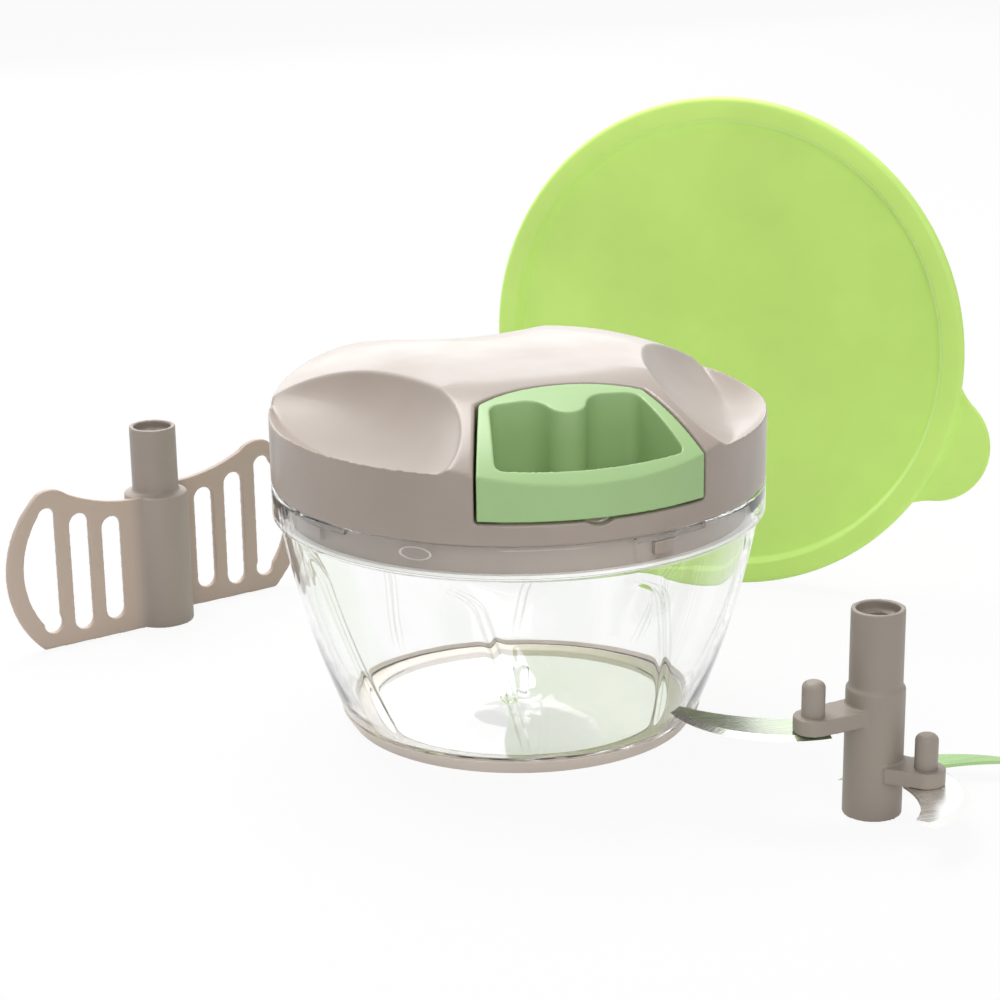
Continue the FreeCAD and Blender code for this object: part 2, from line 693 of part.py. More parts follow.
def make_scoops(name, skin):
    """The space of the two finger scoops, larger by the skin."""
    pieces = []
    floor = d.scoop_level - skin
    curve = d.scoop_curve + skin
    across, up = polar(curve, -45)
    for side in (-1, 1):
        body = new_body(f"{name}{'Left' if side < 0 else 'Right'}")
        turned(body, body.Name + "Turn", (0, floor), (d.scoop_flat, floor),
               Arc((d.scoop_flat + across, floor + curve + up), (d.scoop_flat + curve, floor + curve)),
               (0, floor + curve))
        pieces.append(place(body, d.scoop_x * side, d.scoop_y))
    return fuse(name, *pieces)


def make_lip_space():
    """The space above the scoops' floor and the curved edge that it runs out to."""
    body = new_body("LipSpace")
    floor = d.scoop_level + d.fit_gap
    middle, end = polar(d.lip_curve, -60), polar(d.lip_curve, -30)
    turned(body, "LipTurn", (0, floor), (d.lip_start, floor),
           Arc((d.lip_start + middle[0], floor + d.lip_curve + middle[1]),
               (d.lip_start + end[0], floor + d.lip_curve + end[1])),
           (d.lip_start + end[0], sky), (0, sky))
    return body


def handle_outline(sketch, gap):
    """Plan of the handle, or of its recess when a gap is given."""
    back = d.handle_back_half + gap
    corner_y = d.handle_corner_y + gap
    left, right = (-back, corner_y), (back, corner_y)
    front = d.handle_front_half + gap
    front_y = d.handle_front_y - d.handle_gap
    return outline(sketch, (-front, front_y), (front, front_y), right,
                   Arc((0, d.handle_back_y + gap), left))


def prism(name, low, height, draw, *details):
    """A straight block on a plan drawn by a function."""
    body = new_body(name)
    sketch = draw(sketch_in(body, name + "Plan", lift=low), *details)
    padded(body, sketch, name + "Pad", height)
    return body


cover_foot = d.rim_level + d.cover_gap
recess_floor = d.handle_level - d.handle_gap
sky = d.crown_level + 10
crown_space = make_crown("CrownSpace", as_size(0))


def make_lid_cover():
    """Shell with a crown from front to back, two finger scoops and the handle's recess."""
    block = common("CoverBlock", crown_space,
                   cylinder("CoverRound", d.collar_radius, sky - cover_foot, z=cover_foot))
    block = cut("DippedBlock", block, make_dip("Dip", as_size(0)))
    scoops = common("ScoopSpace", make_scoops("Scoops", as_size(0)), make_lip_space())
    skin = cut("CoverSkin", block, scoops)

    inside = common("CavityRound", make_crown("CrownInside", d.cover_wall),
                    cylinder("CavityCore", cover_bore, sky - d.shoulder_level, z=d.shoulder_level))
    inside = cut("CavityWhole", inside, make_scoops("ScoopsInside", d.cover_wall))
    inside = cut("DippedCavity", inside, make_dip("DipInside", d.cover_wall))
    cavity = cut("Cavity", inside,
                 prism("RecessBlock", recess_floor - d.cover_wall, sky - recess_floor,
                       handle_outline, d.handle_gap + d.cover_wall))
    shell = cut("CoverShell", skin, cavity)

    bosses = []
    for k in range(4):
        spot = polar(screw_circle, d.screw_angle + 90 * k)
        bosses.append(cylinder(f"CoverBoss{k}", d.boss_radius, sky - plate_top, spot[0], spot[1],
                               plate_top))
    for k in range(int(d.ear_count.value)):
        spot = polar(d.ear_circle, as_size(90) + 360.0 / d.ear_count * k)
        bosses.append(cylinder(f"HousingBoss{k}", d.ear_radius, sky - d.housing_top, spot[0],
                               spot[1], d.housing_top))
    shell = fuse("CoverWithBosses", shell, common("Bosses", skin, fuse("BossRods", *bosses)))

    tools = [prism("Recess", recess_floor, sky - recess_floor, handle_outline, d.handle_gap)]
    for k in range(4):
        spot = polar(screw_circle, d.screw_angle + 90 * k)
        tools.append(cylinder(f"CoverPilot{k}", d.screw_radius + d.fit_gap,
                              d.cover_screw_length - d.plate_thickness + 0.4, spot[0], spot[1],
                              plate_top - 0.2))
    for k in range(int(d.ear_count.value)):
        spot = polar(d.ear_circle, as_size(90) + 360.0 / d.ear_count * k)
        tools.append(cylinder(f"HousingPilot{k}", d.screw_radius + d.fit_gap,
                              d.housing_screw_length - d.housing_plate + 0.4, spot[0], spot[1],
                              d.housing_top - 0.2))
    notch = doc.addObject("Part::Cylinder", "ThumbNotch")
    bind(notch, Radius=d.notch_radius, Height=d.cover_wall * 2)
    notch_z = recess_floor - d.notch_depth + d.notch_radius
    notch.Placement = Placement(Vector(0, 0, 0), Rotation(Vector(1, 0, 0), -90))
    notch.setExpression("Placement.Base.y", (-d.collar_radius - 0.5).text)
    notch.setExpression("Placement.Base.z", notch_z.text)
    guide_hole = doc.addObject("Part::Cylinder", "GuideHole")
    bind(guide_hole, Radius=d.guide_radius + d.fit_gap, Height=d.cover_wall * 2)
    guide_hole.Placement = Placement(Vector(0, 0, 0), Rotation(Vector(1, 0, 0), -90))
    guide_hole.setExpression("Placement.Base.y", (recess_back - d.cover_wall / 2).text)
    guide_hole.setExpression("Placement.Base.z", d.cord_level.text)
    keep(cut("LidCover", shell, fuse("CoverTools", *tools, notch, guide_hole)), "lid_cover")


# ------------------------------------------------------------------ pull handle and cord
recess_back = d.handle_back_y + d.handle_gap
recess_wall_inside = recess_back + d.cover_wall


def grip_outline(sketch):
    """Plan of the finger hole: rounded front, and a boss for the cord behind."""
    front_left, front_right = (-d.grip_front_half, d.grip_front_y), (d.grip_front_half, d.grip_front_y)
    return outline(sketch, front_left, Arc((0, -d.grip_front_radius), front_right),
                   (d.grip_back_half, d.grip_back_y), (d.boss_half, d.boss_root_y),
                   Arc((d.boss_bend_half, d.boss_bend_y), (d.boss_side_half, d.boss_side_y)),
                   Arc((0, d.boss_front_y), (-d.boss_side_half, d.boss_side_y)),
                   Arc((-d.boss_bend_half, d.boss_bend_y), (-d.boss_half, d.boss_root_y)),
                   (-d.grip_back_half, d.grip_back_y))


def upright_rounds(name, base, radius, corner):
    """Rounds the two upright edges that stand at a corner of a plan and at its mirror image."""
    doc.recompute()
    picked = []
    for number, edge in enumerate(base.Shape.Edges, 1):
        ends = [vertex.Point for vertex in edge.Vertexes]
        upright = len(ends) == 2 and abs(ends[0].z - ends[1].z) > 1
        off = abs(abs(ends[0].x) - corner[0].value) + abs(ends[0].y - corner[1].value)
        if upright and off < 0.01:
            picked.append((number, radius.value, radius.value))
    rounded = doc.addObject("Part::Fillet", name)
    rounded.Base = base
    rounded.Edges = picked
    return rounded


def along_y(name, radius, start, end, level):
    """A round rod along Y between two places."""
    rod = doc.addObject("Part::Cylinder", name)
    bind(rod, Radius=radius, Height=end - start)
    rod.Placement = Placement(Vector(0, start.value, level.value), Rotation(Vector(1, 0, 0), -90))
    rod.setExpression("Placement.Base.y", start.text)
    rod.setExpression("Placement.Base.z", level.text)
    return rod


def make_pull_handle():
    """Ring handle that fills its recess, with a vertical finger hole."""
    block = common("HandleBlock", crown_space,
                   cylinder("HandleRound", d.collar_radius, sky - d.handle_level, z=d.handle_level),
                   prism("HandlePrism", d.handle_level, sky - d.handle_level,
                         handle_outline, as_size(0)))
    grip = prism("GripHole", d.handle_level - 1, sky - d.handle_level, grip_outline)
    grip = upright_rounds("GripFrontRounds", grip, d.grip_front_round,
                          (d.grip_front_half, d.grip_front_y))
    grip = upright_rounds("GripRounds", grip, d.grip_back_round,
                          (d.grip_back_half, d.grip_back_y))
    chamber = cylinder("KnotChamber", d.knot_bore, d.cord_level + d.knot_bore - d.handle_level + 1,
                       0, d.knot_y, d.handle_level - 1)
    bore = along_y("CordBore", d.cord_radius + d.cord_gap, d.knot_y, d.handle_back_y + 1,
                   d.cord_level)
    keep(cut("PullHandle", block, fuse("HandleTools", grip, chamber, bore)), "pull_handle")


def make_cord_end():
    """End of the cord inside the handle: a short run and the knot in its chamber."""
    knot = solid("Sphere", "Knot", 0, d.knot_y, d.cord_level, Radius=d.knot_radius)
    run = along_y("CordStub", d.cord_radius, d.knot_y, as_size(d.handle_back_y), d.cord_level)
    keep(fuse("CordEnd", knot, run), "cord_end")


def make_knot_plug():
    body = new_body("KnotPlug")
    sketch = circle(sketch_in(body, "PlugPlan", lift=d.handle_level), (0, d.knot_y),
                    d.knot_bore - d.plug_gap)
    padded(body, sketch, "PlugPad", d.plug_height)
    keep(body, "knot_plug")


def make_cord_guide():
    """Flanged eyelet in the back wall of the recess, on the cord's line."""
    body = new_body("CordGuide")
    low, high = as_size(0), d.cover_wall
    bore = d.cord_radius + d.cord_gap
    turned(body, "GuideTurn", (bore, low), (d.guide_radius, low), (d.guide_radius, high),
           (d.guide_flange, high), (d.guide_flange, high + d.guide_flange_height),
           (bore, high + d.guide_flange_height))
    body.Placement = Placement(Vector(0, recess_back.value, d.cord_level.value),
                               Rotation(Vector(1, 0, 0), -90))
    body.setExpression("Placement.Base.y", recess_back.text)
    body.setExpression("Placement.Base.z", d.cord_level.text)
    keep(body, "cord_guide")


def make_cord_lead():
    """Cord from the reel to the guide: a straight run, one bend, a short straight run."""
    bend_y = recess_wall_inside.value + d.guide_flange_height.value
    reach, wind = -bend_y, d.wind_radius.value
    angle = math.acos(wind / reach)
    leave = Vector(-wind * math.sin(angle), -wind * math.cos(angle), d.cord_level.value)
    corner = Vector(0, bend_y, d.cord_level.value)
    exit_point = Vector(0, recess_back.value, d.cord_level.value)
    inward, outward = (leave - corner).normalize(), (exit_point - corner).normalize()
    turn = math.pi - inward.getAngle(outward)
    setback = d.bend_radius.value * math.tan(turn / 2)
    setback = min(setback, 0.45 * (exit_point - corner).Length)
    first, last = corner + inward * setback, corner + outward * setback
    radius = setback / math.tan(turn / 2)
    centre_way = (inward + outward).normalize()
    middle = corner + centre_way * (radius / math.cos(turn / 2) - radius)
    path = Part.Wire([Part.LineSegment(leave, first).toShape(),
                      Part.Arc(first, middle, last).toShape(),
                      Part.LineSegment(last, exit_point).toShape()])
    section = Part.Wire(Part.Circle(leave, first - leave, d.cord_radius.value).toShape())
    lead = doc.addObject("Part::Feature", "CordLead")
    lead.Shape = path.makePipeShell([section], True, False)
    print(f"cord lead: bend radius {radius:.2f} mm, length {path.Length:.2f} mm, volume "
          f"{lead.Shape.Volume:.1f} against {path.Length * math.pi * d.cord_radius.value ** 2:.1f} mm3")
    keep(lead, "cord_lead")


# -------------------------------------------------------------------------------- drive
bush_top = d.hub_top + d.bush_flange_height
wheel_low = bush_top + d.end_gap
wheel_top = wheel_low + d.wheel_thickness
nose_top = d.plate_level - d.end_gap
reel_top = d.reel_level + d.reel_height
reel_foot = wheel_top + d.end_gap


def make_spindle_bush():
    body = new_body("SpindleBush")
    bore = d.shaft_radius + d.fit_gap
    turned(body, "BushTurn", (bore, d.plate_level), (bush_radius, d.plate_level),
           (bush_radius, d.hub_top), (d.bush_flange, d.hub_top), (d.bush_flange, bush_top),
           (bore, bush_top))
    keep(body, "spindle_bush")


def hexagon(sketch, half):
    """Hexagon by half its width across flats."""
    corner = half / math.cos(math.radians(30))
    points = [polar(corner, 60 * k) for k in range(6)]
    return outline(sketch, *points)


def make_drive_spindle():
    """Hexagonal nose below, journal in the bush, thinner journal inside the reel."""
    body = new_body("DriveSpindle")
    padded(body, hexagon(sketch_in(body, "NosePlan", lift=d.nose_level), d.hex_half),
           "Nose", nose_top - d.nose_level)
    padded(body, circle(sketch_in(body, "ShaftPlan", lift=nose_top), (0, 0), d.shaft_radius),
           "Shaft", wheel_top - nose_top)
    padded(body, circle(sketch_in(body, "JournalPlan", lift=wheel_top), (0, 0), d.journal_radius),
           "Journal", d.spindle_top - wheel_top)
    pilot = circle(sketch_in(body, "PilotPlan", lift=d.spindle_top), (0, 0),
                   d.screw_radius + d.fit_gap)
    body.Tip = pocketed(body, pilot, "Pilot", d.reel_screw_length + 0.5)
    keep(body, "drive_spindle")


def make_ratchet_wheel():
    """Saw-toothed wheel fixed on the spindle; its steep faces take the pawls' push."""
    body = new_body("RatchetWheel")
    sketch = sketch_in(body, "WheelPlan", lift=wheel_low)
    points = []
    for k in range(int(d.wheel_teeth.value)):
        angle = as_size(360.0 * k) / d.wheel_teeth
        points.append(polar(d.wheel_root, angle))
        points.append(polar(d.wheel_tip, angle))
    outline(sketch, *points)
    circle(sketch, (0, 0), d.shaft_radius + d.fit_gap)
    padded(body, sketch, "WheelPad", d.wheel_thickness)
    keep(body, "ratchet_wheel")


def make_cord_reel():
    body = new_body("CordReel")
    bore = d.journal_radius + d.fit_gap
    low_face, high_face = d.reel_level + d.reel_flange, reel_top - d.reel_flange
    hub_top = d.spindle_top - d.end_gap
    turned(body, "ReelTurn", (bore, reel_foot), (d.reel_hub, reel_foot), (d.reel_hub, d.reel_level),
           (d.reel_radius, d.reel_level), (d.reel_radius, low_face), (d.drum_radius, low_face),
           (d.drum_radius, high_face), (d.reel_radius, high_face), (d.reel_radius, reel_top),
           (d.reel_hub, reel_top), (d.reel_hub, hub_top), (bore, hub_top))
    sketch = circle(sketch_in(body, "PinHolePlan", lift=low_face), (d.pawl_circle, 0),
                    d.pawl_pin + d.fit_gap)
    hole = pocketed(body, sketch, "PinHole", d.reel_flange)
    repeated(body, hole, sketch, "PinHoles", as_size(2))
    keep(body, "cord_reel")


def make_cord_winding():
    body = new_body("CordWinding")
    washer(body, "WindingTurn", d.drum_radius, d.winding_radius,
           d.reel_level + d.reel_flange + d.winding_gap, reel_top - d.reel_flange - d.winding_gap)
    keep(body, "cord_winding")


def make_pawls():
    """Two pawls under the reel, half a turn apart, that push the ratchet wheel."""
    low = wheel_low + (d.wheel_thickness - d.pawl_thickness) / 2
    tip_radius = (d.wheel_root + d.wheel_tip) / 2
    step = as_size(360) / d.wheel_teeth
    lead = d.pawl_clear * (360 / math.pi) / d.wheel_root
    nose = step - lead
    for k, name in enumerate(("first_pawl", "second_pawl")):
        body = new_body(f"Pawl{k}")
        sketch = sketch_in(body, f"Pawl{k}Plan", lift=low)
        eye = (d.pawl_circle, as_size(0))
        nose_low = polar(d.wheel_root + d.pawl_clear * 2, nose)
        nose_high = polar(tip_radius + d.pawl_clear * 2, nose)
        heel = polar(d.pawl_circle + d.pawl_eye, 0)
        shoulder_low = polar(d.pawl_circle - d.pawl_eye, 2)
        shoulder_high = polar(d.pawl_circle + d.pawl_eye * 0.6, 9)
        tail = polar(d.pawl_circle, as_size(-9))
        outline(sketch, shoulder_low, nose_low, nose_high, shoulder_high, heel,
                Arc(tail, shoulder_low))
        circle(sketch, eye, d.pawl_pin + d.fit_gap)
        padded(body, sketch, f"Pawl{k}Pad", d.pawl_thickness)
        place(body, turn=180 * k)
        keep(body, name)


def make_pawl_pins():
    pins = []
    low = wheel_low + (d.wheel_thickness - d.pawl_thickness) / 2
    for k in range(2):
        spot = polar(d.pawl_circle, 180 * k)
        pins.append(cylinder(f"PawlPin{k}", d.pawl_pin, d.reel_level + d.reel_flange - low,
                             spot[0], spot[1], low))
    group = doc.addObject("Part::Compound", "PawlPins")
    group.Links = pins
    keep(group, "pawl_pins")


def make_reel_fasteners():
    """Washer and screw that hold the reel on the spindle."""
    body = new_body("ReelWasher")
    washer(body, "ReelWasherTurn", d.screw_radius + d.screw_clearance, d.washer_radius,
           d.spindle_top, d.spindle_top + d.washer_thickness)
    keep(body, "reel_washer")
    screw = new_body("ReelScrew")
    head_top = d.spindle_top + d.washer_thickness + d.screw_head_height
    screw_profile(screw, head_top, d.spindle_top - d.reel_screw_length, pointing_up=False)
    keep(screw, "reel_screw")


def make_spring_housing():
    """Cup over the recoil spring, hung from the cover on three ears."""
    body = new_body("HousingCup")
    plate_low = d.housing_top - d.housing_plate
    inner = d.housing_radius - d.housing_wall
    foot = d.housing_top - d.housing_height
    turned(body, "HousingTurn", (d.housing_hole, plate_low), (inner, plate_low), (inner, foot),
           (d.housing_radius, foot), (d.housing_radius, d.housing_top),
           (d.housing_hole, d.housing_top))
    ears = []
    holes = []
    for k in range(int(d.ear_count.value)):
        spot = polar(d.ear_circle, as_size(90) + 360.0 / d.ear_count * k)
        ears.append(cylinder(f"Ear{k}", d.ear_radius, d.housing_plate, spot[0], spot[1], plate_low))
        holes.append(cylinder(f"EarHole{k}", d.screw_radius + d.screw_clearance / 2,
                              d.housing_plate, spot[0], spot[1], plate_low))
    keep(cut("SpringHousing", fuse("HousingBody", body, *ears), fuse("EarHoles", *holes)),
         "spring_housing")


def make_recoil_spring():
    """Flat spiral strip that winds the cord back in."""
    outer = d.housing_radius.value - d.housing_wall.value - d.fit_gap.value
    inner, strip = d.spring_bore.value, d.spring_strip.value
    turns, steps = d.spring_turns.value, 24
    count = int(turns * steps)

    def coil(offset):
        points = []
        for k in range(count + 1):
            radius = inner + (outer - strip - inner) * k / count + offset
            angle = 2 * math.pi * turns * k / count
            points.append(Vector(radius * math.cos(angle), radius * math.sin(angle), 0))
        curve = Part.BSplineCurve()
        curve.interpolate(points)
        return curve.toShape(), points[0], points[-1]

    inside, inside_start, inside_end = coil(0)
    outside, outside_start, outside_end = coil(strip)
    wire = Part.Wire([inside, Part.LineSegment(inside_end, outside_end).toShape(), outside,
                      Part.LineSegment(outside_start, inside_start).toShape()])
    low = d.housing_top.value - d.housing_plate.value - d.spring_gap.value - d.spring_width.value
    spring = doc.addObject("Part::Feature", "RecoilSpring")
    spring.Shape = Part.Face(wire).extrude(Vector(0, 0, d.spring_width.value))
    spring.Placement = Placement(Vector(0, 0, low), Rotation())
    keep(spring, "recoil_spring")


# --------------------------------------------------------------------------- blade unit
class Arm:
    """One arm of the blade unit and the sickle blade under it.

    The reach to the peg and the radii of the blade's outline are shares of the longest
    blade's reach, the level is a share of the column's step, and each angle is in degrees
    from the arm's direction.
    """

    def __init__(self, name, level, direction, reach, edge, tip, back):
        self.name = name
        self.level = d.column_step * (level / 33.9)
        self.direction = direction
        self.reach = d.blade_reach * (reach / 50.3)
        self.edge = [self.along(*point) for point in edge]
        self.tip = self.along(*tip)
        self.back = [self.along(*point) for point in back]

    def along(self, radius, angle):
        return polar(d.blade_reach * (radius / 50.3), angle)


ARMS = [
    Arm("upper_blade", 24.8, 189, 18.0, [(16, 17), (30.3, -3), (50.3, -35.5)],
        (48.4, -38.5), [(36, -32), (14.5, -28)]),
    Arm("middle_blade", 10.4, 311, 14.0, [(18.4, 36), (26.4, -2), (35.2, -41)],
        (31, -46.5), [(20, -32), (10.5, -21)]),
    Arm("lower_blade", 4.9, 70, 15.0, [(13, 37), (27, -21), (45.4, -57)],
        (42.6, -60), [(27, -47), (12.5, -30)]),
]


def unit_place(obj, turn=0):
    """Puts a piece that is modelled round the Z axis in its place in the blade unit."""
    return place(obj, d.blade_x, d.blade_y, 0, turn)


def column_profile(body, name, radius, step, height):
    """Column of a unit: body, slope, neck and open mouth; bored for the bowl's pin."""
    pin_bore = d.pin_radius + d.pin_gap
    return turned(body, name,
                  (pin_bore, 0), (radius, 0), (radius, step - d.neck_bevel),
                  (d.neck_radius, step), (d.neck_radius, height), (d.mouth_bore, height),
                  (d.mouth_bore, height - d.mouth_depth), (0, height - d.mouth_depth),
                  (0, d.pin_bore_depth), (pin_bore, d.pin_bore_depth))


def socket(body, name, height):
    """Hexagonal socket for the drive nose, from the floor of the mouth down."""
    sketch = hexagon(sketch_in(body, name + "Plan", lift=height - d.mouth_depth),
                     d.hex_half + d.socket_gap)
    body.Tip = pocketed(body, sketch, name, d.socket_depth - d.mouth_depth)


def make_blade_column():
    """Column with three arms; each arm is flush with one side of the column."""
    body = new_body("BladeColumnCore")
    column_profile(body, "ColumnTurn", d.column_radius, d.column_step, d.column_height)
    socket(body, "ColumnSocket", d.column_height)
    pieces = [unit_place(body)]
    holes = []
    for k, arm in enumerate(ARMS):
        limb = new_body(f"Arm{k}")
        sketch = sketch_in(limb, f"Arm{k}Plan", lift=arm.level)
        reach, end = arm.reach, d.arm_end
        outline(sketch, (d.mouth_bore, -d.column_radius * 0.8), (reach, -end),
                Arc((reach + end, 0), (reach, end)), (d.mouth_bore, end))
        padded(limb, sketch, f"Arm{k}Pad", d.arm_thickness)
        pieces.append(unit_place(limb, arm.direction))
        hole = new_body(f"PegHole{k}")
        sketch = circle(sketch_in(hole, f"PegHole{k}Plan", lift=arm.level - 1), (reach, 0),
                        d.peg_shank + d.fit_gap)
        padded(hole, sketch, f"PegHole{k}Pad", d.arm_thickness + 2)
        holes.append(unit_place(hole, arm.direction))
    keep(cut("BladeColumn", fuse("BladeColumnWhole", *pieces), fuse("PegHoles", *holes)),
         "blade_column")


def make_blades():
    """Sickle blades: sharp convex edge, hollow back, held under the arms by the pegs."""
    for k, arm in enumerate(ARMS):
        body = new_body(f"Blade{k}")
        sketch = sketch_in(body, f"Blade{k}Plan", lift=arm.level - d.blade_thickness)
        outline(sketch, arm.edge[0], Arc(arm.edge[1], arm.edge[2]), arm.tip,
                Arc(arm.back[0], arm.back[1]))
        circle(sketch, (arm.reach, 0), d.peg_shank + d.fit_gap)
        padded(body, sketch, f"Blade{k}Pad", d.blade_thickness)
        keep(unit_place(body, arm.direction), arm.name)


def make_blade_pegs():
    """Round-topped pegs pressed through the arms and the blades."""
    pegs = []
    for k, arm in enumerate(ARMS):
        body = new_body(f"Peg{k}")
        low = arm.level - d.blade_thickness
        seat = arm.level + d.arm_thickness
        top = seat + d.peg_height
        flat, round_start = d.peg_radius - d.peg_round, top - d.peg_round
        across, up = polar(d.peg_round, 45)
        turned(body, f"Peg{k}Turn", (0, low), (d.peg_shank, low), (d.peg_shank, seat),
               (d.peg_radius, seat), (d.peg_radius, round_start),
               Arc((flat + across, round_start + up), (flat, top)), (0, top))
        spot = polar(arm.reach, arm.direction)
        pegs.append(place(body, d.blade_x + spot[0], d.blade_y + spot[1]))
    group = doc.addObject("Part::Compound", "BladePegs")
    group.Links = pegs
    keep(group, "blade_pegs")


# ------------------------------------------------------------------------ mixing paddle
def on_wing(along, up):
    """A point of the wing's drawing, which is made for a reach of 50.8 mm."""
    return (d.wing_reach * (along / 50.8), d.wing_reach * (up / 50.8))


def wing_outline(sketch):
    """Side view of a wing: reach from the axis, level above the table."""
    root = d.paddle_radius * 0.4
    return outline(sketch, (root, d.wing_foot), (on_wing(41.2, 0)[0], d.wing_foot),
                   Arc(on_wing(50.8, 28.5), on_wing(40.2, 46.8)),
                   Arc(on_wing(37.2, 47.5), on_wing(31, 45.2)),
                   Arc(on_wing(22.5, 41.9), (root, on_wing(0, 40.0)[1])))


def slot_outlines(sketch):
    """Three slots: two with round ends, and a leaf-shaped one along the outer edge."""
    for middle, low, high in ((17.8, 5.2, 36.2), (28.0, 4.2, 39.0)):
        half = d.slot_half
        (middle, low), high = on_wing(middle, low), on_wing(middle, high)[1]
        left, right = middle - half, middle + half
        outline(sketch, (left, low + half), Arc((middle, low), (right, low + half)),
                (right, high - half), Arc((middle, high), (left, high - half)))
    outline(sketch, on_wing(35.4, 9.5), Arc(on_wing(37.8, 4.9), on_wing(40.9, 8.0)),
            Arc(on_wing(45.9, 28), on_wing(40.8, 40.0)),
            Arc(on_wing(38, 42.3), on_wing(35.4, 39.0)))
    return sketch


def make_mixing_paddle():
    """Column with two slotted wings, half a turn apart, each beside the axis."""
    body = new_body("PaddleColumn")
    column_profile(body, "PaddleTurn", d.paddle_radius, d.paddle_step, d.paddle_height)
    socket(body, "PaddleSocket", d.paddle_height)
    core = cylinder("PaddleCore", d.pin_radius + d.pin_gap, d.paddle_height)
    wings = []
    for k in range(2):
        wing = new_body(f"Wing{k}")
        lift = -(d.wing_offset + d.wing_thickness / 2)
        padded(wing, wing_outline(sketch_in(wing, f"Wing{k}Side", "XZ_Plane", lift)),
               f"Wing{k}Pad", d.wing_thickness)
        slots = slot_outlines(sketch_in(wing, f"Wing{k}Slots", "XZ_Plane",
                                        lift + d.wing_thickness))
        wing.Tip = pocketed(wing, slots, f"Wing{k}Cut", d.wing_thickness)
        wings.append(place(wing, turn=180 * k))
    clear_wings = cut("WingsClear", fuse("Wings", *wings), core)
    whole = fuse("MixingPaddle", body, clear_wings)
    place(whole, d.paddle_x, d.paddle_y, 0, d.paddle_turn)
    keep(whole, "mixing_paddle")


# -------------------------------------------------------------------------- storage lid
def make_storage_lid():
    """Flexible press-on lid with a rolled rim and a pull tab, standing on its edge."""
    body = new_body("StorageLid")
    wall, step = d.storage_wall, d.storage_step
    grip = d.collar_radius + d.storage_fit
    bead_low = step - d.storage_bead * 2
    turned(body, "StorageTurn",
           (0, 0), (d.storage_panel, 0), (d.storage_panel + step / 2, step),
           (d.storage_radius - d.storage_bead, step),
           Arc((d.storage_radius, step - d.storage_bead), (d.storage_radius - d.storage_bead, bead_low)),
           (grip + wall, bead_low), (grip + wall, -d.storage_skirt), (grip, -d.storage_skirt),
           (grip, -wall), (0, -wall))
    sketch = sketch_in(body, "TabPlan", lift=bead_low)
    low, high = d.tab_angle - d.tab_spread, d.tab_angle + d.tab_spread
    root_low = polar(d.storage_radius - d.storage_bead, low)
    root_high = polar(d.storage_radius - d.storage_bead, high)
    along = polar(d.tab_shoulder, d.tab_angle)
    across = polar(d.tab_half, d.tab_angle + 90)
    side_low = (along[0] - across[0], along[1] - across[1])
    side_high = (along[0] + across[0], along[1] + across[1])
    outline(sketch, root_low, side_low, Arc(polar(d.tab_reach, d.tab_angle), side_high), root_high)
    padded(body, sketch, "TabPad", wall)
    contact = d.storage_radius.value
    turn = Rotation(d.storage_turn.value, 0, 90 - d.storage_lean.value)
    up = turn.multVec(Vector(0, contact, 0))
    forward = turn.multVec(Vector(0, 0, step.value))
    lift = max(0.0, -forward.z)
    spot = Vector(d.storage_x.value, d.storage_y.value, lift)
    body.Placement = Placement(spot + up, turn)
    keep(body, "storage_lid")


# -------------------------------------------------------------------------------- build
make_bowl()
make_foot_ring()
make_rim_seal()
make_lid_base()
screw_group("cover_screws", screw_circle, d.screw_angle, 4,
            d.plate_level - d.screw_head_height, d.cover_screw_length)
make_lid_cover()
make_pull_handle()
make_cord_end()
make_knot_plug()
make_cord_guide()
make_cord_lead()
make_spindle_bush()
make_drive_spindle()
make_ratchet_wheel()
make_cord_reel()
make_cord_winding()
make_pawls()
make_pawl_pins()
make_reel_fasteners()
make_spring_housing()
screw_group("housing_screws", d.ear_circle, as_size(90), int(d.ear_count.value),
            d.housing_top - d.housing_plate - d.screw_head_height, d.housing_screw_length)
make_recoil_spring()
make_blade_column()
make_blades()
make_blade_pegs()
make_mixing_paddle()
make_storage_lid()
doc.recompute()

# ------------------------------------------------------------------------ check, write
failed = [o.Name for o in doc.Objects if "Invalid" in o.State or "Error" in o.State]
if failed:
    raise RuntimeError(f"objects that failed to build: {failed}")
for obj in SUBPARTS:
    shape = obj.Shape
    if shape.isNull() or not shape.isValid() or not shape.Solids:
        raise RuntimeError(f"{obj.Label} has no valid solid")
os.makedirs("parts", exist_ok=True)
for obj in SUBPARTS:
    obj.Shape.exportStep(f"parts/{obj.Label}.step")
    box = obj.Shape.optimalBoundingBox(True, False)
    print(f"{obj.Label:16s} solids {len(obj.Shape.Solids)} volume {obj.Shape.Volume:10.1f} "
          f"x {box.XMin:7.2f} {box.XMax:7.2f} y {box.YMin:7.2f} {box.YMax:7.2f} "
          f"z {box.ZMin:6.2f} {box.ZMax:6.2f}")
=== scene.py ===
# %% [markdown]
# # A pull-cord food chopper
#
# The chopper is a clear bowl with a grey lid. A handle in the lid pulls a cord, the cord
# turns a reel, and the reel drives whatever stands on the bowl's centre pin. Beside the
# bowl stand a blade unit, a mixing paddle and a soft lid for storing food. The exact
# solids come from the frame. This lesson gives them soft edges, clear and satin plastics,
# ground steel and studio light.

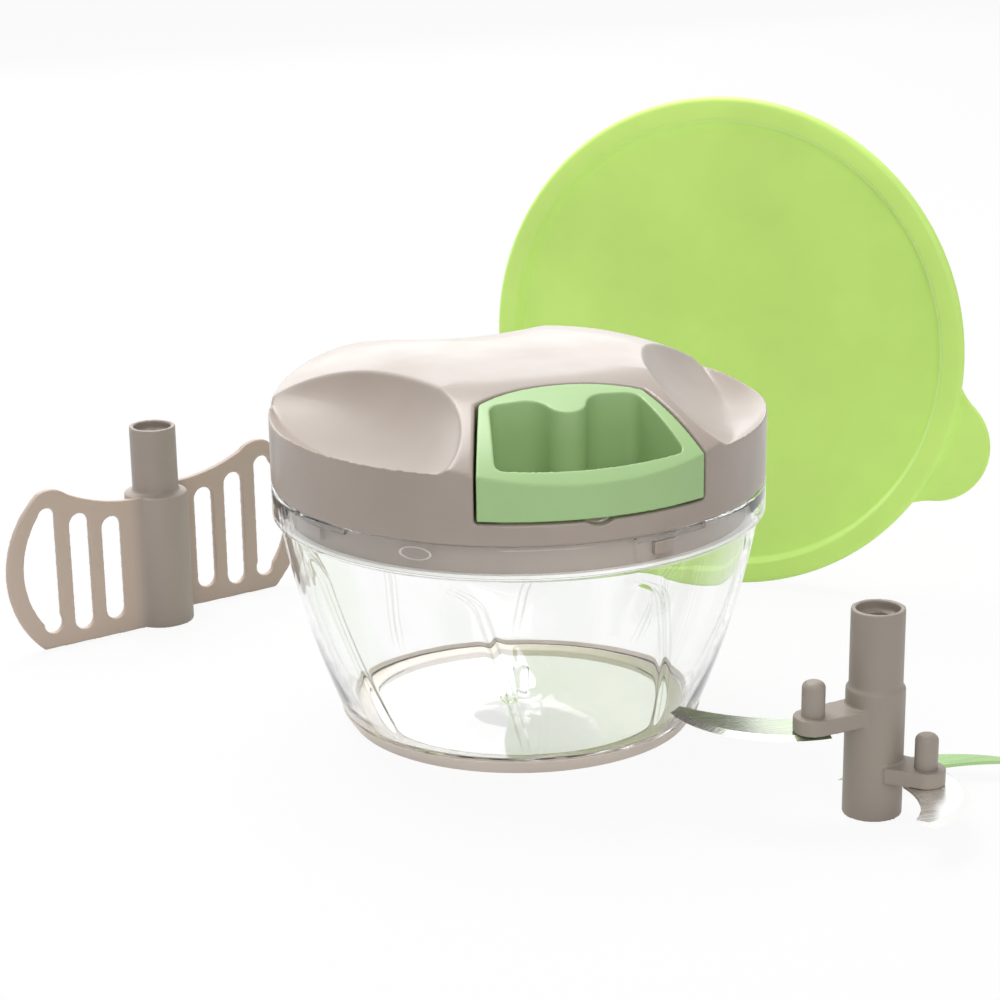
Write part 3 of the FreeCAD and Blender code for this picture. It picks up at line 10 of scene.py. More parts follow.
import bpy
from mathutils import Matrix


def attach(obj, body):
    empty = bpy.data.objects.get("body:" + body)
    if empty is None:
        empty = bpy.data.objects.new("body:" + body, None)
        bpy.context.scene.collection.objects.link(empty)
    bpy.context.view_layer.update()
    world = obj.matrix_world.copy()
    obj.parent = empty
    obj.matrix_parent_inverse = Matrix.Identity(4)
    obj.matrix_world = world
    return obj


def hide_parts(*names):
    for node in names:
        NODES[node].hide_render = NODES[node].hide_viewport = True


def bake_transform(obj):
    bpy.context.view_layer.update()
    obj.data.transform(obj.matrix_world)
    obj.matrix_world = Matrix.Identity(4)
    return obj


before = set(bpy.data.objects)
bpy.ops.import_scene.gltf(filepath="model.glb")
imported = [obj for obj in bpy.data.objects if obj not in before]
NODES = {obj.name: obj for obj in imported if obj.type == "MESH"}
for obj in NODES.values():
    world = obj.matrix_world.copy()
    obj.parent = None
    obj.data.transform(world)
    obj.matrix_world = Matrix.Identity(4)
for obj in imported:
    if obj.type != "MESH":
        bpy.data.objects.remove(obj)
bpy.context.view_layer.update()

# %% [markdown]
# ## Working in millimetres
#
# Blender's unit here is the metre, and a kitchen tool is thought of in millimetres. One
# constant keeps every size readable. Operators act on whatever is selected, and a loaded
# frame leaves its nodes selected, so a helper clears the selection and, if it is given a
# piece, makes that the only one that the next operator touches.

# %% Units and selection
import math

import bpy
from mathutils import Matrix, Vector

MM = 0.001


def only(piece=None):
    """Leaves edit mode with just this piece selected, or with nothing."""
    if bpy.context.object and bpy.context.object.mode != "OBJECT":
        bpy.ops.object.mode_set(mode="OBJECT")
    bpy.ops.object.select_all(action="DESELECT")
    bpy.context.view_layer.objects.active = piece
    if piece:
        piece.select_set(True)


only()

# %% [markdown]
# ## Drawing a line by pulling a point
#
# Turned pieces and flat pieces both begin as a line. A tiny plane is merged to one point,
# and the point is extruded from stop to stop, which is what Ctrl + right click does by
# hand. Arcs are worked out from three points that they pass through, as on a drawing.

# %% Lines and arcs


def polar(radius, degrees):
    """A point of a flat drawing from its distance and direction."""
    return (radius * math.cos(math.radians(degrees)), radius * math.sin(math.radians(degrees)))


def round_centre(first, middle, last):
    """Centre of the circle through three points of a flat drawing."""
    (ax, ay), (bx, by), (cx, cy) = first, middle, last
    twice = 2 * (ax * (by - cy) + bx * (cy - ay) + cx * (ay - by))
    a2, b2, c2 = ax * ax + ay * ay, bx * bx + by * by, cx * cx + cy * cy
    return Vector(((a2 * (by - cy) + b2 * (cy - ay) + c2 * (ay - by)) / twice,
                   (a2 * (cx - bx) + b2 * (ax - cx) + c2 * (bx - ax)) / twice))


def arc(first, middle, last, parts):
    """Points of the arc through three points of a flat drawing, ends included."""
    ox, oy = round_centre(first, middle, last)
    radius = math.hypot(first[0] - ox, first[1] - oy)
    start = math.atan2(first[1] - oy, first[0] - ox)
    halfway = math.atan2(middle[1] - oy, middle[0] - ox)
    end = math.atan2(last[1] - oy, last[0] - ox)
    sweep = (end - start) % math.tau
    if (halfway - start) % math.tau > sweep:
        sweep -= math.tau
    turns = [start + sweep * k / parts for k in range(parts + 1)]
    return [(ox + radius * math.cos(t), oy + radius * math.sin(t)) for t in turns]


def soften(corners, parts=4):
    """A flat line whose corners (x, y, radius) are rounded by the radius given with each."""
    path = []
    for k, (x, y, radius) in enumerate(corners):
        here = Vector((x, y))
        if not radius:
            path.append((x, y))
            continue
        before = (Vector(corners[k - 1][:2]) - here).normalized()
        after = (Vector(corners[(k + 1) % len(corners)][:2]) - here).normalized()
        half = before.angle(after) / 2
        centre = here + (before + after).normalized() * (radius / math.sin(half))
        start = here + before * (radius / math.tan(half))
        end = here + after * (radius / math.tan(half))
        bulge = centre + (here - centre).normalized() * radius
        path += arc(start, bulge, end, parts)
    return path


def pull_line(name, points):
    """Extrudes a point through the points, given in metres, and stays in edit mode."""
    only()
    bpy.ops.mesh.primitive_plane_add(size=MM, location=points[0])
    piece = bpy.context.object
    piece.name = name
    bpy.ops.object.mode_set(mode="EDIT")
    bpy.ops.mesh.merge(type="CENTER")
    for here, there in zip(points, points[1:]):
        step = Vector(there) - Vector(here)
        bpy.ops.mesh.extrude_vertices_move(TRANSFORM_OT_translate={"value": step})
    bpy.ops.mesh.select_all(action="SELECT")
    return piece


def settle(piece):
    """Puts the piece's place into its mesh, so that its object sits at the origin."""
    only(piece)
    bpy.ops.object.transform_apply(location=True, rotation=True, scale=True)
    return piece


# %% [markdown]
# ## A lathe and a cutter
#
# Spin sweeps a half section round the axis, as a lathe would. The seam and the points on
# the axis are merged afterwards, and only then are the normals worked out. The cutter
# closes a line to a face and gives it thickness, as sheet stock is cut. Modifiers are
# applied as soon as they are added, and a Boolean's tool is thrown away after use.

# %% Lathe and sheet stock
WELD = 0.002 * MM


def swept(steps, angle):
    """Spins what is selected round the Z axis and merges the points that meet."""
    bpy.ops.mesh.spin(steps=steps, angle=angle, center=(0, 0, 0), axis=(0, 0, 1))
    bpy.ops.mesh.select_all(action="SELECT")
    bpy.ops.mesh.remove_doubles(threshold=WELD)
    bpy.ops.mesh.normals_make_consistent(inside=False)


def turned(name, section, steps=256):
    """Turns a section of (radius, level) in millimetres round the Z axis."""
    piece = pull_line(name, [(r * MM, 0, z * MM) for r, z in section])
    swept(steps, math.tau)
    settle(piece)
    print(f"{name}: {len(piece.data.polygons)} faces")
    return piece


def sheet_cut(name, outline, low, high):
    """A flat piece with that outline in millimetres, between two levels."""
    piece = pull_line(name, [(x * MM, y * MM, low * MM) for x, y in outline])
    bpy.ops.mesh.edge_face_add()
    up = {"value": (0, 0, (high - low) * MM)}
    bpy.ops.mesh.extrude_region_move(TRANSFORM_OT_translate=up)
    bpy.ops.mesh.select_all(action="SELECT")
    bpy.ops.mesh.normals_make_consistent(inside=False)
    return settle(piece)


def worked(piece, kind, **settings):
    """Adds a modifier to the piece and applies it."""
    only(piece)
    modifier = piece.modifiers.new(kind.lower(), kind)
    for name, value in settings.items():
        setattr(modifier, name, value)
    bpy.ops.object.modifier_apply(modifier=modifier.name)


def combined(piece, tool, operation, solver="EXACT"):
    """Adds the tool's shape to the piece or takes it away, and throws the tool away."""
    worked(piece, "BOOLEAN", operation=operation, solver=solver, object=tool)
    bpy.data.objects.remove(tool)


# %% [markdown]
# ## Moulded edges
#
# The solids have knife-sharp edges, and nothing that comes out of a mould does. A voxel
# remesh of a merged copy gives an even skin of small squares, and some passes of Smooth
# then melt each edge to a radius of one or two squares, inside corners too, which a bevel on
# loose triangles can't do. An edge that runs along the voxels comes out as steps, so the
# copy is tilted first and tilted back afterwards. Decimate takes the surplus off the flat
# parts, where the skin has far more faces than it needs.

# %% Soft copies
TILT = Matrix.Rotation(0.41, 4, "X") @ Matrix.Rotation(0.29, 4, "Y") @ Matrix.Rotation(0.2, 4, "Z")


def moulded(name, node, grain, passes, keep=1.0):
    """A copy of a solid with rounded edges; keep is the share of its faces that stays."""
    only()
    piece = bpy.data.objects.new(name, NODES[node].data.copy())
    bpy.context.scene.collection.objects.link(piece)
    piece.data.materials.clear()
    only(piece)
    bpy.ops.object.mode_set(mode="EDIT")
    bpy.ops.mesh.select_all(action="SELECT")
    bpy.ops.mesh.remove_doubles(threshold=0.001 * MM)
    only(piece)
    piece.data.transform(TILT)
    worked(piece, "REMESH", mode="VOXEL", voxel_size=grain * MM)
    piece.data.transform(TILT.inverted())
    worked(piece, "SMOOTH", factor=0.5, iterations=passes)
    if keep < 1:
        worked(piece, "DECIMATE", ratio=keep)
    bpy.ops.object.shade_smooth()
    print(f"{name}: {len(piece.data.polygons)} faces")
    return piece


# %% [markdown]
# ## Writing shaders as sums
#
# A material is a net of nodes. The small class below stands for one output of a node, so
# that `1 - mask` or `noise * 0.2 + 0.4` adds the Math nodes for itself. Every other node
# comes from one method, which takes its type, its settings and what goes into its sockets.

# %% Shader sums


class Wire:
    """One output of a node."""

    def __init__(self, finish, socket):
        self.finish = finish
        self.socket = socket

    def __add__(self, other):
        return self.finish.sum("ADD", self, other)

    def __sub__(self, other):
        return self.finish.sum("SUBTRACT", self, other)

    def __rsub__(self, other):
        return self.finish.sum("SUBTRACT", other, self)

    def __mul__(self, other):
        return self.finish.sum("MULTIPLY", self, other)

    def __truediv__(self, other):
        return self.finish.sum("DIVIDE", self, other)

    def __pow__(self, other):
        return self.finish.sum("POWER", self, other)


class Finish:
    """A material, its Principled shader and the nodes that feed it."""

    def __init__(self, name):
        self.material = bpy.data.materials.new(name)
        self.material.use_nodes = True
        self.tree = self.material.node_tree
        self.shader = self.tree.nodes["Principled BSDF"]
        self.place = self.node("ShaderNodeTexCoord", {}, {}, "Object")

    def feed(self, socket, value):
        """Links a Wire to the socket, or sets the socket to a plain value."""
        if isinstance(value, Wire):
            self.tree.links.new(value.socket, socket)
        elif socket.type == "RGBA":
            socket.default_value = (*value[:3], 1)
        else:
            socket.default_value = value

    def node(self, kind, settings, sockets, output=0):
        """Adds a node and gives back one of its outputs."""
        made = self.tree.nodes.new(kind)
        for name, value in settings.items():
            setattr(made, name, value)
        for name, value in sockets.items():
            self.feed(made.inputs[name], value)
        return Wire(self, made.outputs[output])

    def sum(self, operation, first, second):
        """One step of arithmetic, by the name that the Math node has for it."""
        return self.node("ShaderNodeMath", {"operation": operation}, {0: first, 1: second})

    def noise(self, scale, detail=2, place=None):
        """Noise from 0 to 1, with its scale in waves per metre."""
        sockets = {"Vector": place or self.place, "Scale": scale, "Detail": detail}
        return self.node("ShaderNodeTexNoise", {}, sockets, "Fac")

    def stretch(self, x, y, z, turn=0):
        """The place on the piece, scaled along each axis and turned round Z."""
        sockets = {"Vector": self.place, "Scale": (x, y, z), "Rotation": (0, 0, turn)}
        return self.node("ShaderNodeMapping", {}, sockets)

    def part(self, axis):
        """One coordinate of the place on the piece, in metres."""
        return self.node("ShaderNodeSeparateXYZ", {}, {"Vector": self.place}, axis)

    def away(self, centre, axes=(1, 1, 1)):
        """Distance from a point in metres; an axis with 0 in axes isn't counted."""
        gap = self.node("ShaderNodeVectorMath", {"operation": "SUBTRACT"},
                        {0: self.place, 1: centre})
        gap = self.node("ShaderNodeVectorMath", {"operation": "MULTIPLY"}, {0: gap, 1: axes})
        return self.node("ShaderNodeVectorMath", {"operation": "LENGTH"}, {0: gap}, "Value")

    def between(self, value, low, high, first=0.0, last=1.0):
        """Goes evenly from first to last while the value goes from low to high."""
        sockets = {0: value, 1: low, 2: high, 3: first, 4: last}
        return self.node("ShaderNodeMapRange", {"clamp": True}, sockets)

    def mix(self, mask, first, second):
        """The first colour where the mask is 0, the second where it is 1."""
        settings = {"data_type": "RGBA"}
        return self.node("ShaderNodeMix", settings, {0: mask, 6: first, 7: second}, 2)

    def bump(self, height, depth):
        """Relief without geometry, with its depth in millimetres."""
        sockets = {"Height": height, "Distance": depth * MM, "Strength": 1.0}
        return self.node("ShaderNodeBump", {}, sockets)

    def surface(self, **sockets):
        """Feeds the Principled shader, with _ for a space in a socket's name."""
        for name, value in sockets.items():
            self.feed(self.shader.inputs[name.replace("_", " ")], value)


def tint(red, green, blue):
    """A colour read off a swatch, 0 to 255, as the linear values that shaders take."""
    shares = [c / 255 for c in (red, green, blue)]
    return tuple(c / 12.92 if c <= 0.04045 else ((c + 0.055) / 1.055) ** 2.4 for c in shares)


# %% [markdown]
# ## Satin plastic
#
# The lid, handle and columns are injection-moulded in a polished tool that has been lightly
# textured. Up close such a surface has slow flow marks in its colour, a roughness that
# drifts, and a skin as fine as an eggshell. One recipe serves all of them, with its own
# colour and gloss for each.

# %% Plastic recipe


def plastic(name, colour, gloss, depth=0.012, drift=0.05, coat=0.0):
    """A moulded plastic: colour 0 to 255, gloss as roughness, depth of its skin in mm."""
    finish = Finish(name)
    flow = finish.noise(26, 3)
    skin = finish.noise(1500)
    handling = finish.noise(90, 4)
    pale = tint(*[min(255, c * (1 + drift / 2)) for c in colour])
    deep = tint(*[c * (1 - drift / 2) for c in colour])
    colours = finish.mix(finish.between(flow, 0.35, 0.65), deep, pale)
    rough = finish.between(handling, 0.3, 0.7, gloss - 0.03, gloss + 0.04)
    finish.surface(Base_Color=colours, Roughness=rough, Coat_Weight=coat,
                   Coat_Roughness=0.12, Normal=finish.bump(skin, depth))
    return finish


def dress(piece, finish, body, stands_for=()):
    """Gives a piece its finish and its body, and hides the nodes that it stands for."""
    piece.data.materials.clear()
    piece.data.materials.append(finish.material)
    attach(piece, body)
    if stands_for:
        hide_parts(*stands_for)


def repaint(finish, *nodes):
    """Gives nodes whose shape stays as it is a better finish."""
    for node in nodes:
        for place in NODES[node].material_slots:
            place.material = finish.material


lid_grey = plastic("lid_grey", (162, 149, 139), 0.32, coat=0.12)
grip_green = plastic("grip_green", (160, 194, 134), 0.38, drift=0.03)

# %% [markdown]
# ## The lid cover
#
# The cover is a dome with a finger scoop pressed into each side and a recess for the
# handle. Its solid has the right form, so a soft copy of it is enough: the scoops' rims
# and the mouth of the recess catch a thin line of light once they are rounded.

# %% Lid cover
lid_cover = moulded("lid_top", "lid_cover", 0.35, 22, 0.2)
dress(lid_cover, lid_grey, "lid", ["lid_cover"])

# %% [markdown]
# ## The pull handle
#
# A deep ring for two or three fingers, with a wave in its back wall where the knot of the
# cord is housed. The thick satin moulding has generous edges.

# %% Pull handle
pull_handle = moulded("pull_grip", "pull_handle", 0.25, 16, 0.4)
dress(pull_handle, grip_green, "handle", ["pull_handle"])

# %% [markdown]
# ## Clear bowl: the section
#
# The bowl is one thick clear moulding. Its section runs up the outside, over the collar,
# down the curved inside wall and across the floor to the centre pin. The inside wall gets
# many points, because ribs are raised out of it afterwards.

# %% Bowl section
FLOOR = 4.0
WALL = ((47.4, 2.8), (57.3, 31), (63.3, 57.6))
outside = arc(*WALL, 22)
inside = arc((60.2, 58.4), (55.1, 31), (44.4, FLOOR), 84)
foot = soften([(0, 1.6, 0), (40.1, 1.6, 0.3), (40.1, 2.8, 0.2), (47.4, 2.8, 0.5), (*outside[1], 0)])
collar = soften([(*outside[-2], 0), (63.3, 57.6, 0.5), (65, 58.6, 0.5), (65, 66.8, 0.9),
                 (63.4, 66.8, 0.5), (63.4, 58.4, 0.35), (60.2, 58.4, 0.5), (*inside[1], 0)])
pin = soften([(*inside[-2], 0), (44.4, FLOOR, 1.2), (5.3, FLOOR, 0.4), (5.3, 4.8, 0.3),
              (2.3, 4.8, 0.4), (2.3, 12.7, 0.7), (0, 12.7, 0)])
bowl = turned("clear_bowl", foot[:-1] + outside[1:-1] + collar[1:-1] + inside[1:-1] + pin[1:], 512)

# %% [markdown]
# ## Clear bowl: slanted ribs
#
# Eight ribs stop the food from sliding round with the blades. Each leans, and bends over
# near the top to join a plain band. On a spun mesh that needs no modelling tool: every
# point of the inside wall is lifted by its distance from the nearest rib's line, laid out
# flat as (length round the wall, height). A rib fades out over a few millimetres at its
# foot and at its top.

# %% Bowl ribs
RIBS = 8
RIB_HEIGHT = 0.28
RIB_HALF = 1.4
RIB_FOOT = 5
RIB_TOP = 57.5
LEAN = math.tan(math.radians(14))
GIRTH = 56  # radius at which the wall is laid out flat
HALFWAY = 31  # level that the ribs lean about
BEND_LEVEL = 48
BEND_RADIUS = 6
BEND_END = -8


def rib_lift(turn, level):
    """How far the wall stands in, in millimetres, at a turn in radians and a level."""
    most = 0.0
    for k in range(-1, RIBS + 1):
        start = math.tau * (k + 0.5) / RIBS
        aside = (turn - start) * GIRTH - LEAN * (HALFWAY - level)
        if level < BEND_LEVEL:
            away = abs(aside)
        elif aside > BEND_END:
            away = abs(math.hypot(aside + BEND_RADIUS, level - BEND_LEVEL) - BEND_RADIUS)
        else:
            away = math.inf
        most = max(most, math.exp(-(away / RIB_HALF) ** 2))
    foot_share = min(1, max(0, (level - RIB_FOOT) / 6))
    top_share = min(1, max(0, (RIB_TOP - level) / 2))
    return RIB_HEIGHT * most * foot_share * top_share


lifted = 0
for point in bowl.data.vertices:
    radius, level = math.hypot(point.co.x, point.co.y) / MM, point.co.z / MM
    wall = min(inside, key=lambda place: abs(place[1] - level))[0]
    if RIB_FOOT < level < RIB_TOP and abs(radius - wall) < 0.4:
        turn = math.atan2(point.co.y, point.co.x) % math.tau
        share = 1 - rib_lift(turn, level) / radius
        point.co.x *= share
        point.co.y *= share
        lifted += 1
print("points on the ribbed wall", lifted)

# %% [markdown]
# ## Clear bowl: cams
#
# Four short cams inside the collar catch the lid's lugs. They are short sweeps of a small
# block, spun through their own angle. A Boolean makes them one body with the bowl, since
# a clear plastic shows every face that is left inside it.

# %% Bowl cams
CAMS = 4
FIRST_CAM = -151
CAM_SPAN = 20


def cam(start, span):
    """A small block swept round the inside of the collar, by angles in radians."""
    corners = [(61.9, 65.0), (63.9, 65.0), (63.9, 66.3), (61.9, 66.3)]
    piece = pull_line("cam", [(r * MM, 0, z * MM) for r, z in corners])
    bpy.ops.mesh.edge_face_add()
    swept(16, span)
    only(piece)
    piece.matrix_world = Matrix.Rotation(start, 4, "Z") @ piece.matrix_world
    return settle(piece)


for k in range(CAMS):
    block = cam(math.radians(FIRST_CAM + 360 / CAMS * k), math.radians(CAM_SPAN))
    combined(bowl, block, "UNION", "MANIFOLD")
print("bowl with its cams", len(bowl.data.polygons), "faces")
only(bowl)
bpy.ops.object.shade_smooth_by_angle(angle=math.radians(50))

# %% [markdown]
# ## Clear bowl: lock mark
#
# A raised oval line on the collar shows where the lid locks. It is left rough in the mould,
# so it reads as a pale ring on the clear plastic. A thin torus stands on its edge against
# the collar, and is stretched to an oval.

# %% Lock mark
LOCK_TURN = math.radians(-131.1)
LOCK_RADIUS = 64.95
LOCK_LEVEL = 64.3
only()
bpy.ops.mesh.primitive_torus_add(major_segments=64, minor_segments=12, major_radius=1 * MM,
                                 minor_radius=0.08 * MM, rotation=(0, math.radians(90), 0))
mark = bpy.context.object
mark.name = "lock_mark"
bpy.ops.object.transform_apply(location=False, rotation=True, scale=False)
mark.scale = (3.4, 4.1, 1.6)
mark.rotation_euler = (0, 0, LOCK_TURN)
mark.location = Vector((math.cos(LOCK_TURN) * LOCK_RADIUS, math.sin(LOCK_TURN) * LOCK_RADIUS,
                        LOCK_LEVEL)) * MM
settle(mark)
bpy.ops.object.shade_smooth()
dress(mark, plastic("rough_line", (214, 208, 200), 0.6), "bowl")

# %% [markdown]
# ## Clear plastic
#
# A thick solid of real plastic index fills with dark streaks, because light that is caught
# in its walls never gets out within the renderer's bounces. A lower index keeps the walls
# bright, and a clear coat of the usual index gives their edges back the shine. The walls aren't
# perfectly even, so a very shallow, slow bump makes the reflections swim. The colour is
# almost white, with the faint cast of the plastic. Each rib darkens the light along its two
# flanks, and a mask that repeats eight times round the axis paints those lines. The bowl
# casts no shadow, as clear plastic hardly does.

# %% Bowl finish
FLANK = 1.1
HALF_PITCH = math.tau * GIRTH / (2 * RIBS)
clear = Finish("clear_plastic")
swim = clear.noise(60)
handled = clear.noise(300, 3)
cast = clear.mix(clear.between(swim, 0.3, 0.7), tint(252, 253, 252), tint(255, 255, 255))
height = clear.part("Z") / MM
above_bend = clear.between(height, BEND_LEVEL, BEND_LEVEL + 5.9, 0, 5.9)
bend = BEND_RADIUS - (BEND_RADIUS ** 2 - above_bend * above_bend) ** 0.5
around = clear.sum("ARCTAN2", clear.part("Y"), clear.part("X")) * GIRTH
from_rib = around - (HALFWAY - height) * LEAN - HALF_PITCH + bend
to_flank = clear.sum("ABSOLUTE", clear.sum("PINGPONG", from_rib, HALF_PITCH) - FLANK, 0)
line = clear.between(to_flank, 0.1, 0.5, 1, 0)
line = line * clear.between(height, 6, 12) * clear.between(height, 53, 55, 1, 0)
lined = clear.mix(line, cast, tint(226, 227, 224))
clear.surface(Base_Color=lined, Roughness=clear.between(handled, 0.4, 0.7, 0.0, 0.03),
              Normal=clear.bump(swim, 0.06), IOR=1.2, Coat_Weight=0.7, Coat_Roughness=0.02,
              Transmission_Weight=1.0)
dress(bowl, clear, "bowl", ["bowl"])
bowl.visible_shadow = False

# %% [markdown]
# ## The storage lid
#
# A soft lid that is pressed over the collar once the food is chopped. It is turned lying
# flat: a panel, a step up to the rim, a rolled bead and a thin skirt. Then it is stood on
# its edge, where it leans back very slightly.

# %% Storage lid rim
BEAD_REACH = 73
bead = arc((71.3, 2.6), (BEAD_REACH, 0.9), (71.3, -0.8), 10)
rim = soften([(0, 0, 0), (65.4, 0, 0.9), (66.7, 2.6, 0.9), (*bead[0], 0)], 5)
skirt = soften([(*bead[-1], 0), (66.8, -0.8, 0.4), (66.8, -7.5, 0.6), (65.3, -7.5, 0.6),
                (65.3, -1.5, 0.6), (0, -1.5, 0)])
store = turned("store_lid_disc", rim[:-1] + bead + skirt[1:])

# %% [markdown]
# ## The lid's tab
#
# The tab flows out of the rim in two shallow hollows and ends in a broad round. It is cut
# from sheet, its edges are bevelled, and it is joined to the disc.

# %% Storage lid tab
TAB = -20.5
middle_line, half_width = Vector(polar(76.5, TAB)), Vector(polar(15.2, TAB + 90))
low_side, high_side = middle_line - half_width, middle_line + half_width
sweep_in = arc(polar(71.0, TAB - 18.3), polar(73.6, TAB - 14.2), low_side, 6)
sweep_out = arc(high_side, polar(73.6, TAB + 14.2), polar(71.0, TAB + 18.3), 6)
tab = sheet_cut("tab", sweep_in + arc(low_side, polar(86.2, TAB), high_side, 24)[1:-1] + sweep_out,
                -0.8, 0.7)
worked(tab, "BEVEL", width=0.5 * MM, segments=3, limit_method="ANGLE")
only(store)
tab.select_set(True)
bpy.ops.object.join()

# %% Stand the storage lid up
raised, facing = math.radians(87.5), math.radians(-41)
stand = Matrix.Rotation(facing, 4, "Z") @ Matrix.Rotation(raised, 4, "X")
touching = Vector((91.7, 84.8, 0)) * MM
up_to_centre = stand @ Vector((0, BEAD_REACH * MM, 0))
store.matrix_world = Matrix.Translation(touching + up_to_centre) @ stand
settle(store)
bpy.ops.object.shade_smooth_by_angle(angle=math.radians(40))
print("storage lid", [round(n / MM, 1) for n in store.dimensions])

# %% [markdown]
# ## Soft lime plastic
#
# Polyethylene is waxy: it never gets a hard highlight, and its colour is deeper where the
# wall is thick. Slow noise shifts it between two limes. The lid is kept out of reflections,
# as if each piece had been lit by itself, so that the crown in front of it stays clean.

# %% Storage lid finish
lime = plastic("lime_soft", (208, 247, 127), 0.42, depth=0.008, drift=0.04)
dress(store, lime, "store_lid", ["storage_lid"])
store.visible_glossy = False

# %% [markdown]
# ## The blade unit's column
#
# One hollow column slides over the bowl's pin, and its three arms carry the blades. A soft
# copy of the solid gives it moulded edges, and few passes of smoothing keep its socket.

# %% Blade column
column_grey = plastic("column_grey", (153, 143, 132), 0.45, depth=0.02)
blade_column = moulded("blade_hub", "blade_column", 0.3, 7)
dress(blade_column, column_grey, "blade_unit", ["blade_column"])
repaint(column_grey, "blade_pegs")

# %% [markdown]
# ## Sickle blades
#
# Each blade is stamped from thin strip and then ground on its curved outer edge only. The
# strip is cut flat. The top's points along the sharp edge are then moved straight inwards,
# which leaves a slope down to the cutting line. The slope narrows with the strip.

# %% Blades
UNIT = Vector((60.0, -96.1))
STRIP = 0.9
GROUND = 2.0


def blade(name, level, direction, edge, tip, back, peg):
    """A sickle blade: outline points are (radius, degrees from the arm's direction)."""
    def spot(point):
        return UNIT + Vector(polar(point[0], direction + point[1]))

    sharp = arc(*[spot(point) for point in edge], 36)
    hollow = arc(spot(tip), spot(back[0]), spot(back[1]), 30)
    piece = sheet_cut(name, sharp + hollow, level - STRIP, level)
    centre = round_centre(*[spot(point) for point in edge])
    for x, y in sharp:
        width = min(math.hypot(x - u, y - v) for u, v in hollow)
        inward = (centre - Vector((x, y))).normalized() * min(GROUND, 0.5 * width)
        for point in piece.data.vertices:
            near = math.hypot(point.co.x / MM - x, point.co.y / MM - y) < 0.01
            on_top = point.co.z > (level - STRIP / 2) * MM
            if near and on_top:
                point.co.x += inward.x * MM
                point.co.y += inward.y * MM
    hole = UNIT + Vector(polar(peg, direction))
    only()
    bpy.ops.mesh.primitive_cylinder_add(vertices=48, radius=1.55 * MM, depth=4 * MM,
                                        location=(hole.x * MM, hole.y * MM, level * MM))
    combined(piece, bpy.context.object, "DIFFERENCE")
    return piece


upper = blade("top_blade", 24.8, 189, [(16, 17), (30.3, -3), (50.3, -35.5)],
              (48.4, -38.5), [(36, -32), (14.5, -28)], 18)
middle = blade("mid_blade", 10.4, 311, [(18.4, 36), (26.4, -2), (35.2, -41)],
               (31, -46.5), [(20, -32), (10.5, -21)], 14)
lower = blade("low_blade", 4.9, 70, [(13, 37), (27, -21), (45.4, -57)],
              (42.6, -60), [(27, -47), (12.5, -30)], 15)

# %% [markdown]
# ## Stainless steel
#
# Strip steel keeps the fine lines of the rolling mill. Noise stretched a hundredfold along
# one direction gives them, both as tiny grooves and as a drift in the roughness. Polished
# steel takes its tone from what it faces, and here that tone is a painted reflection in the
# colour: it goes from a green cast near the column to grey or white at the tips, so each
# blade has a near and a far colour of painted reflection.

# %% Blade finish


def steel(name, near, far, reach):
    """Brushed steel with a painted reflection in its colour, going from near the column to the
    reach, in millimetres.
    """
    finish = Finish(name)
    lines = finish.noise(1, 3, finish.stretch(60, 2600, 900, 0.5))
    smoky = finish.noise(45)
    out = finish.away((UNIT.x * MM, UNIT.y * MM, 0))
    share = finish.between(out + smoky * (4 * MM), 14 * MM, reach * MM)
    finish.surface(Base_Color=finish.mix(share, tint(*near), tint(*far)), Metallic=1.0,
                   Roughness=finish.between(lines, 0.3, 0.7, 0.2, 0.34),
                   Normal=finish.bump(lines, 0.002))
    return finish


# Each blade's near and far colours are painted reflection: a green cast by the column, grey or
# white at the tips.
dress(upper, steel("top_steel", (192, 222, 170), (182, 184, 178), 46),
      "blade_unit", ["upper_blade"])
dress(middle, steel("mid_steel", (150, 140, 128), (250, 250, 248), 24),
      "blade_unit", ["middle_blade"])
dress(lower, steel("low_steel", (158, 194, 130), (172, 206, 146), 50),
      "blade_unit", ["lower_blade"])

# %% [markdown]
# ## The mixing paddle
#
# The paddle mixes instead of cutting, with two slotted wings on the same kind of column.
# The wings are thin and let some light through, so their plastic reads lighter and warmer
# than the column's. A mask on the distance from the column's axis makes that change.

# %% Paddle
paddle = moulded("mixer", "mixing_paddle", 0.35, 7, 0.6)
PADDLE = Vector((-76.2, 108.2, 0)) * MM
wing_grey = plastic("paddle_plastic", (156, 145, 136), 0.42, depth=0.015)
wing = wing_grey.between(wing_grey.away(PADDLE, (1, 1, 0)), 8.5 * MM, 13 * MM)
column_colour = Wire(wing_grey, wing_grey.shader.inputs["Base Color"].links[0].from_socket)
wing_grey.surface(Base_Color=wing_grey.mix(wing, column_colour, tint(190, 172, 158)))
dress(paddle, wing_grey, "paddle", ["mixing_paddle"])

# %% [markdown]
# ## Small parts that keep their shape
#
# Screws, pins, the reel and its spring are exact already, and most of them are hidden in
# the lid. They only need the finish of what they are made of.

# %% Small part finishes


def metal(name, cloud, deep, pale, smooth, rough):
    """Bare metal, clouded between two tones and between two roughnesses."""
    finish = Finish(name)
    finish.surface(Base_Color=finish.mix(finish.noise(*cloud), tint(*deep), tint(*pale)),
                   Roughness=finish.between(finish.noise(*cloud), 0.3, 0.7, smooth, rough),
                   Metallic=1.0)
    return finish


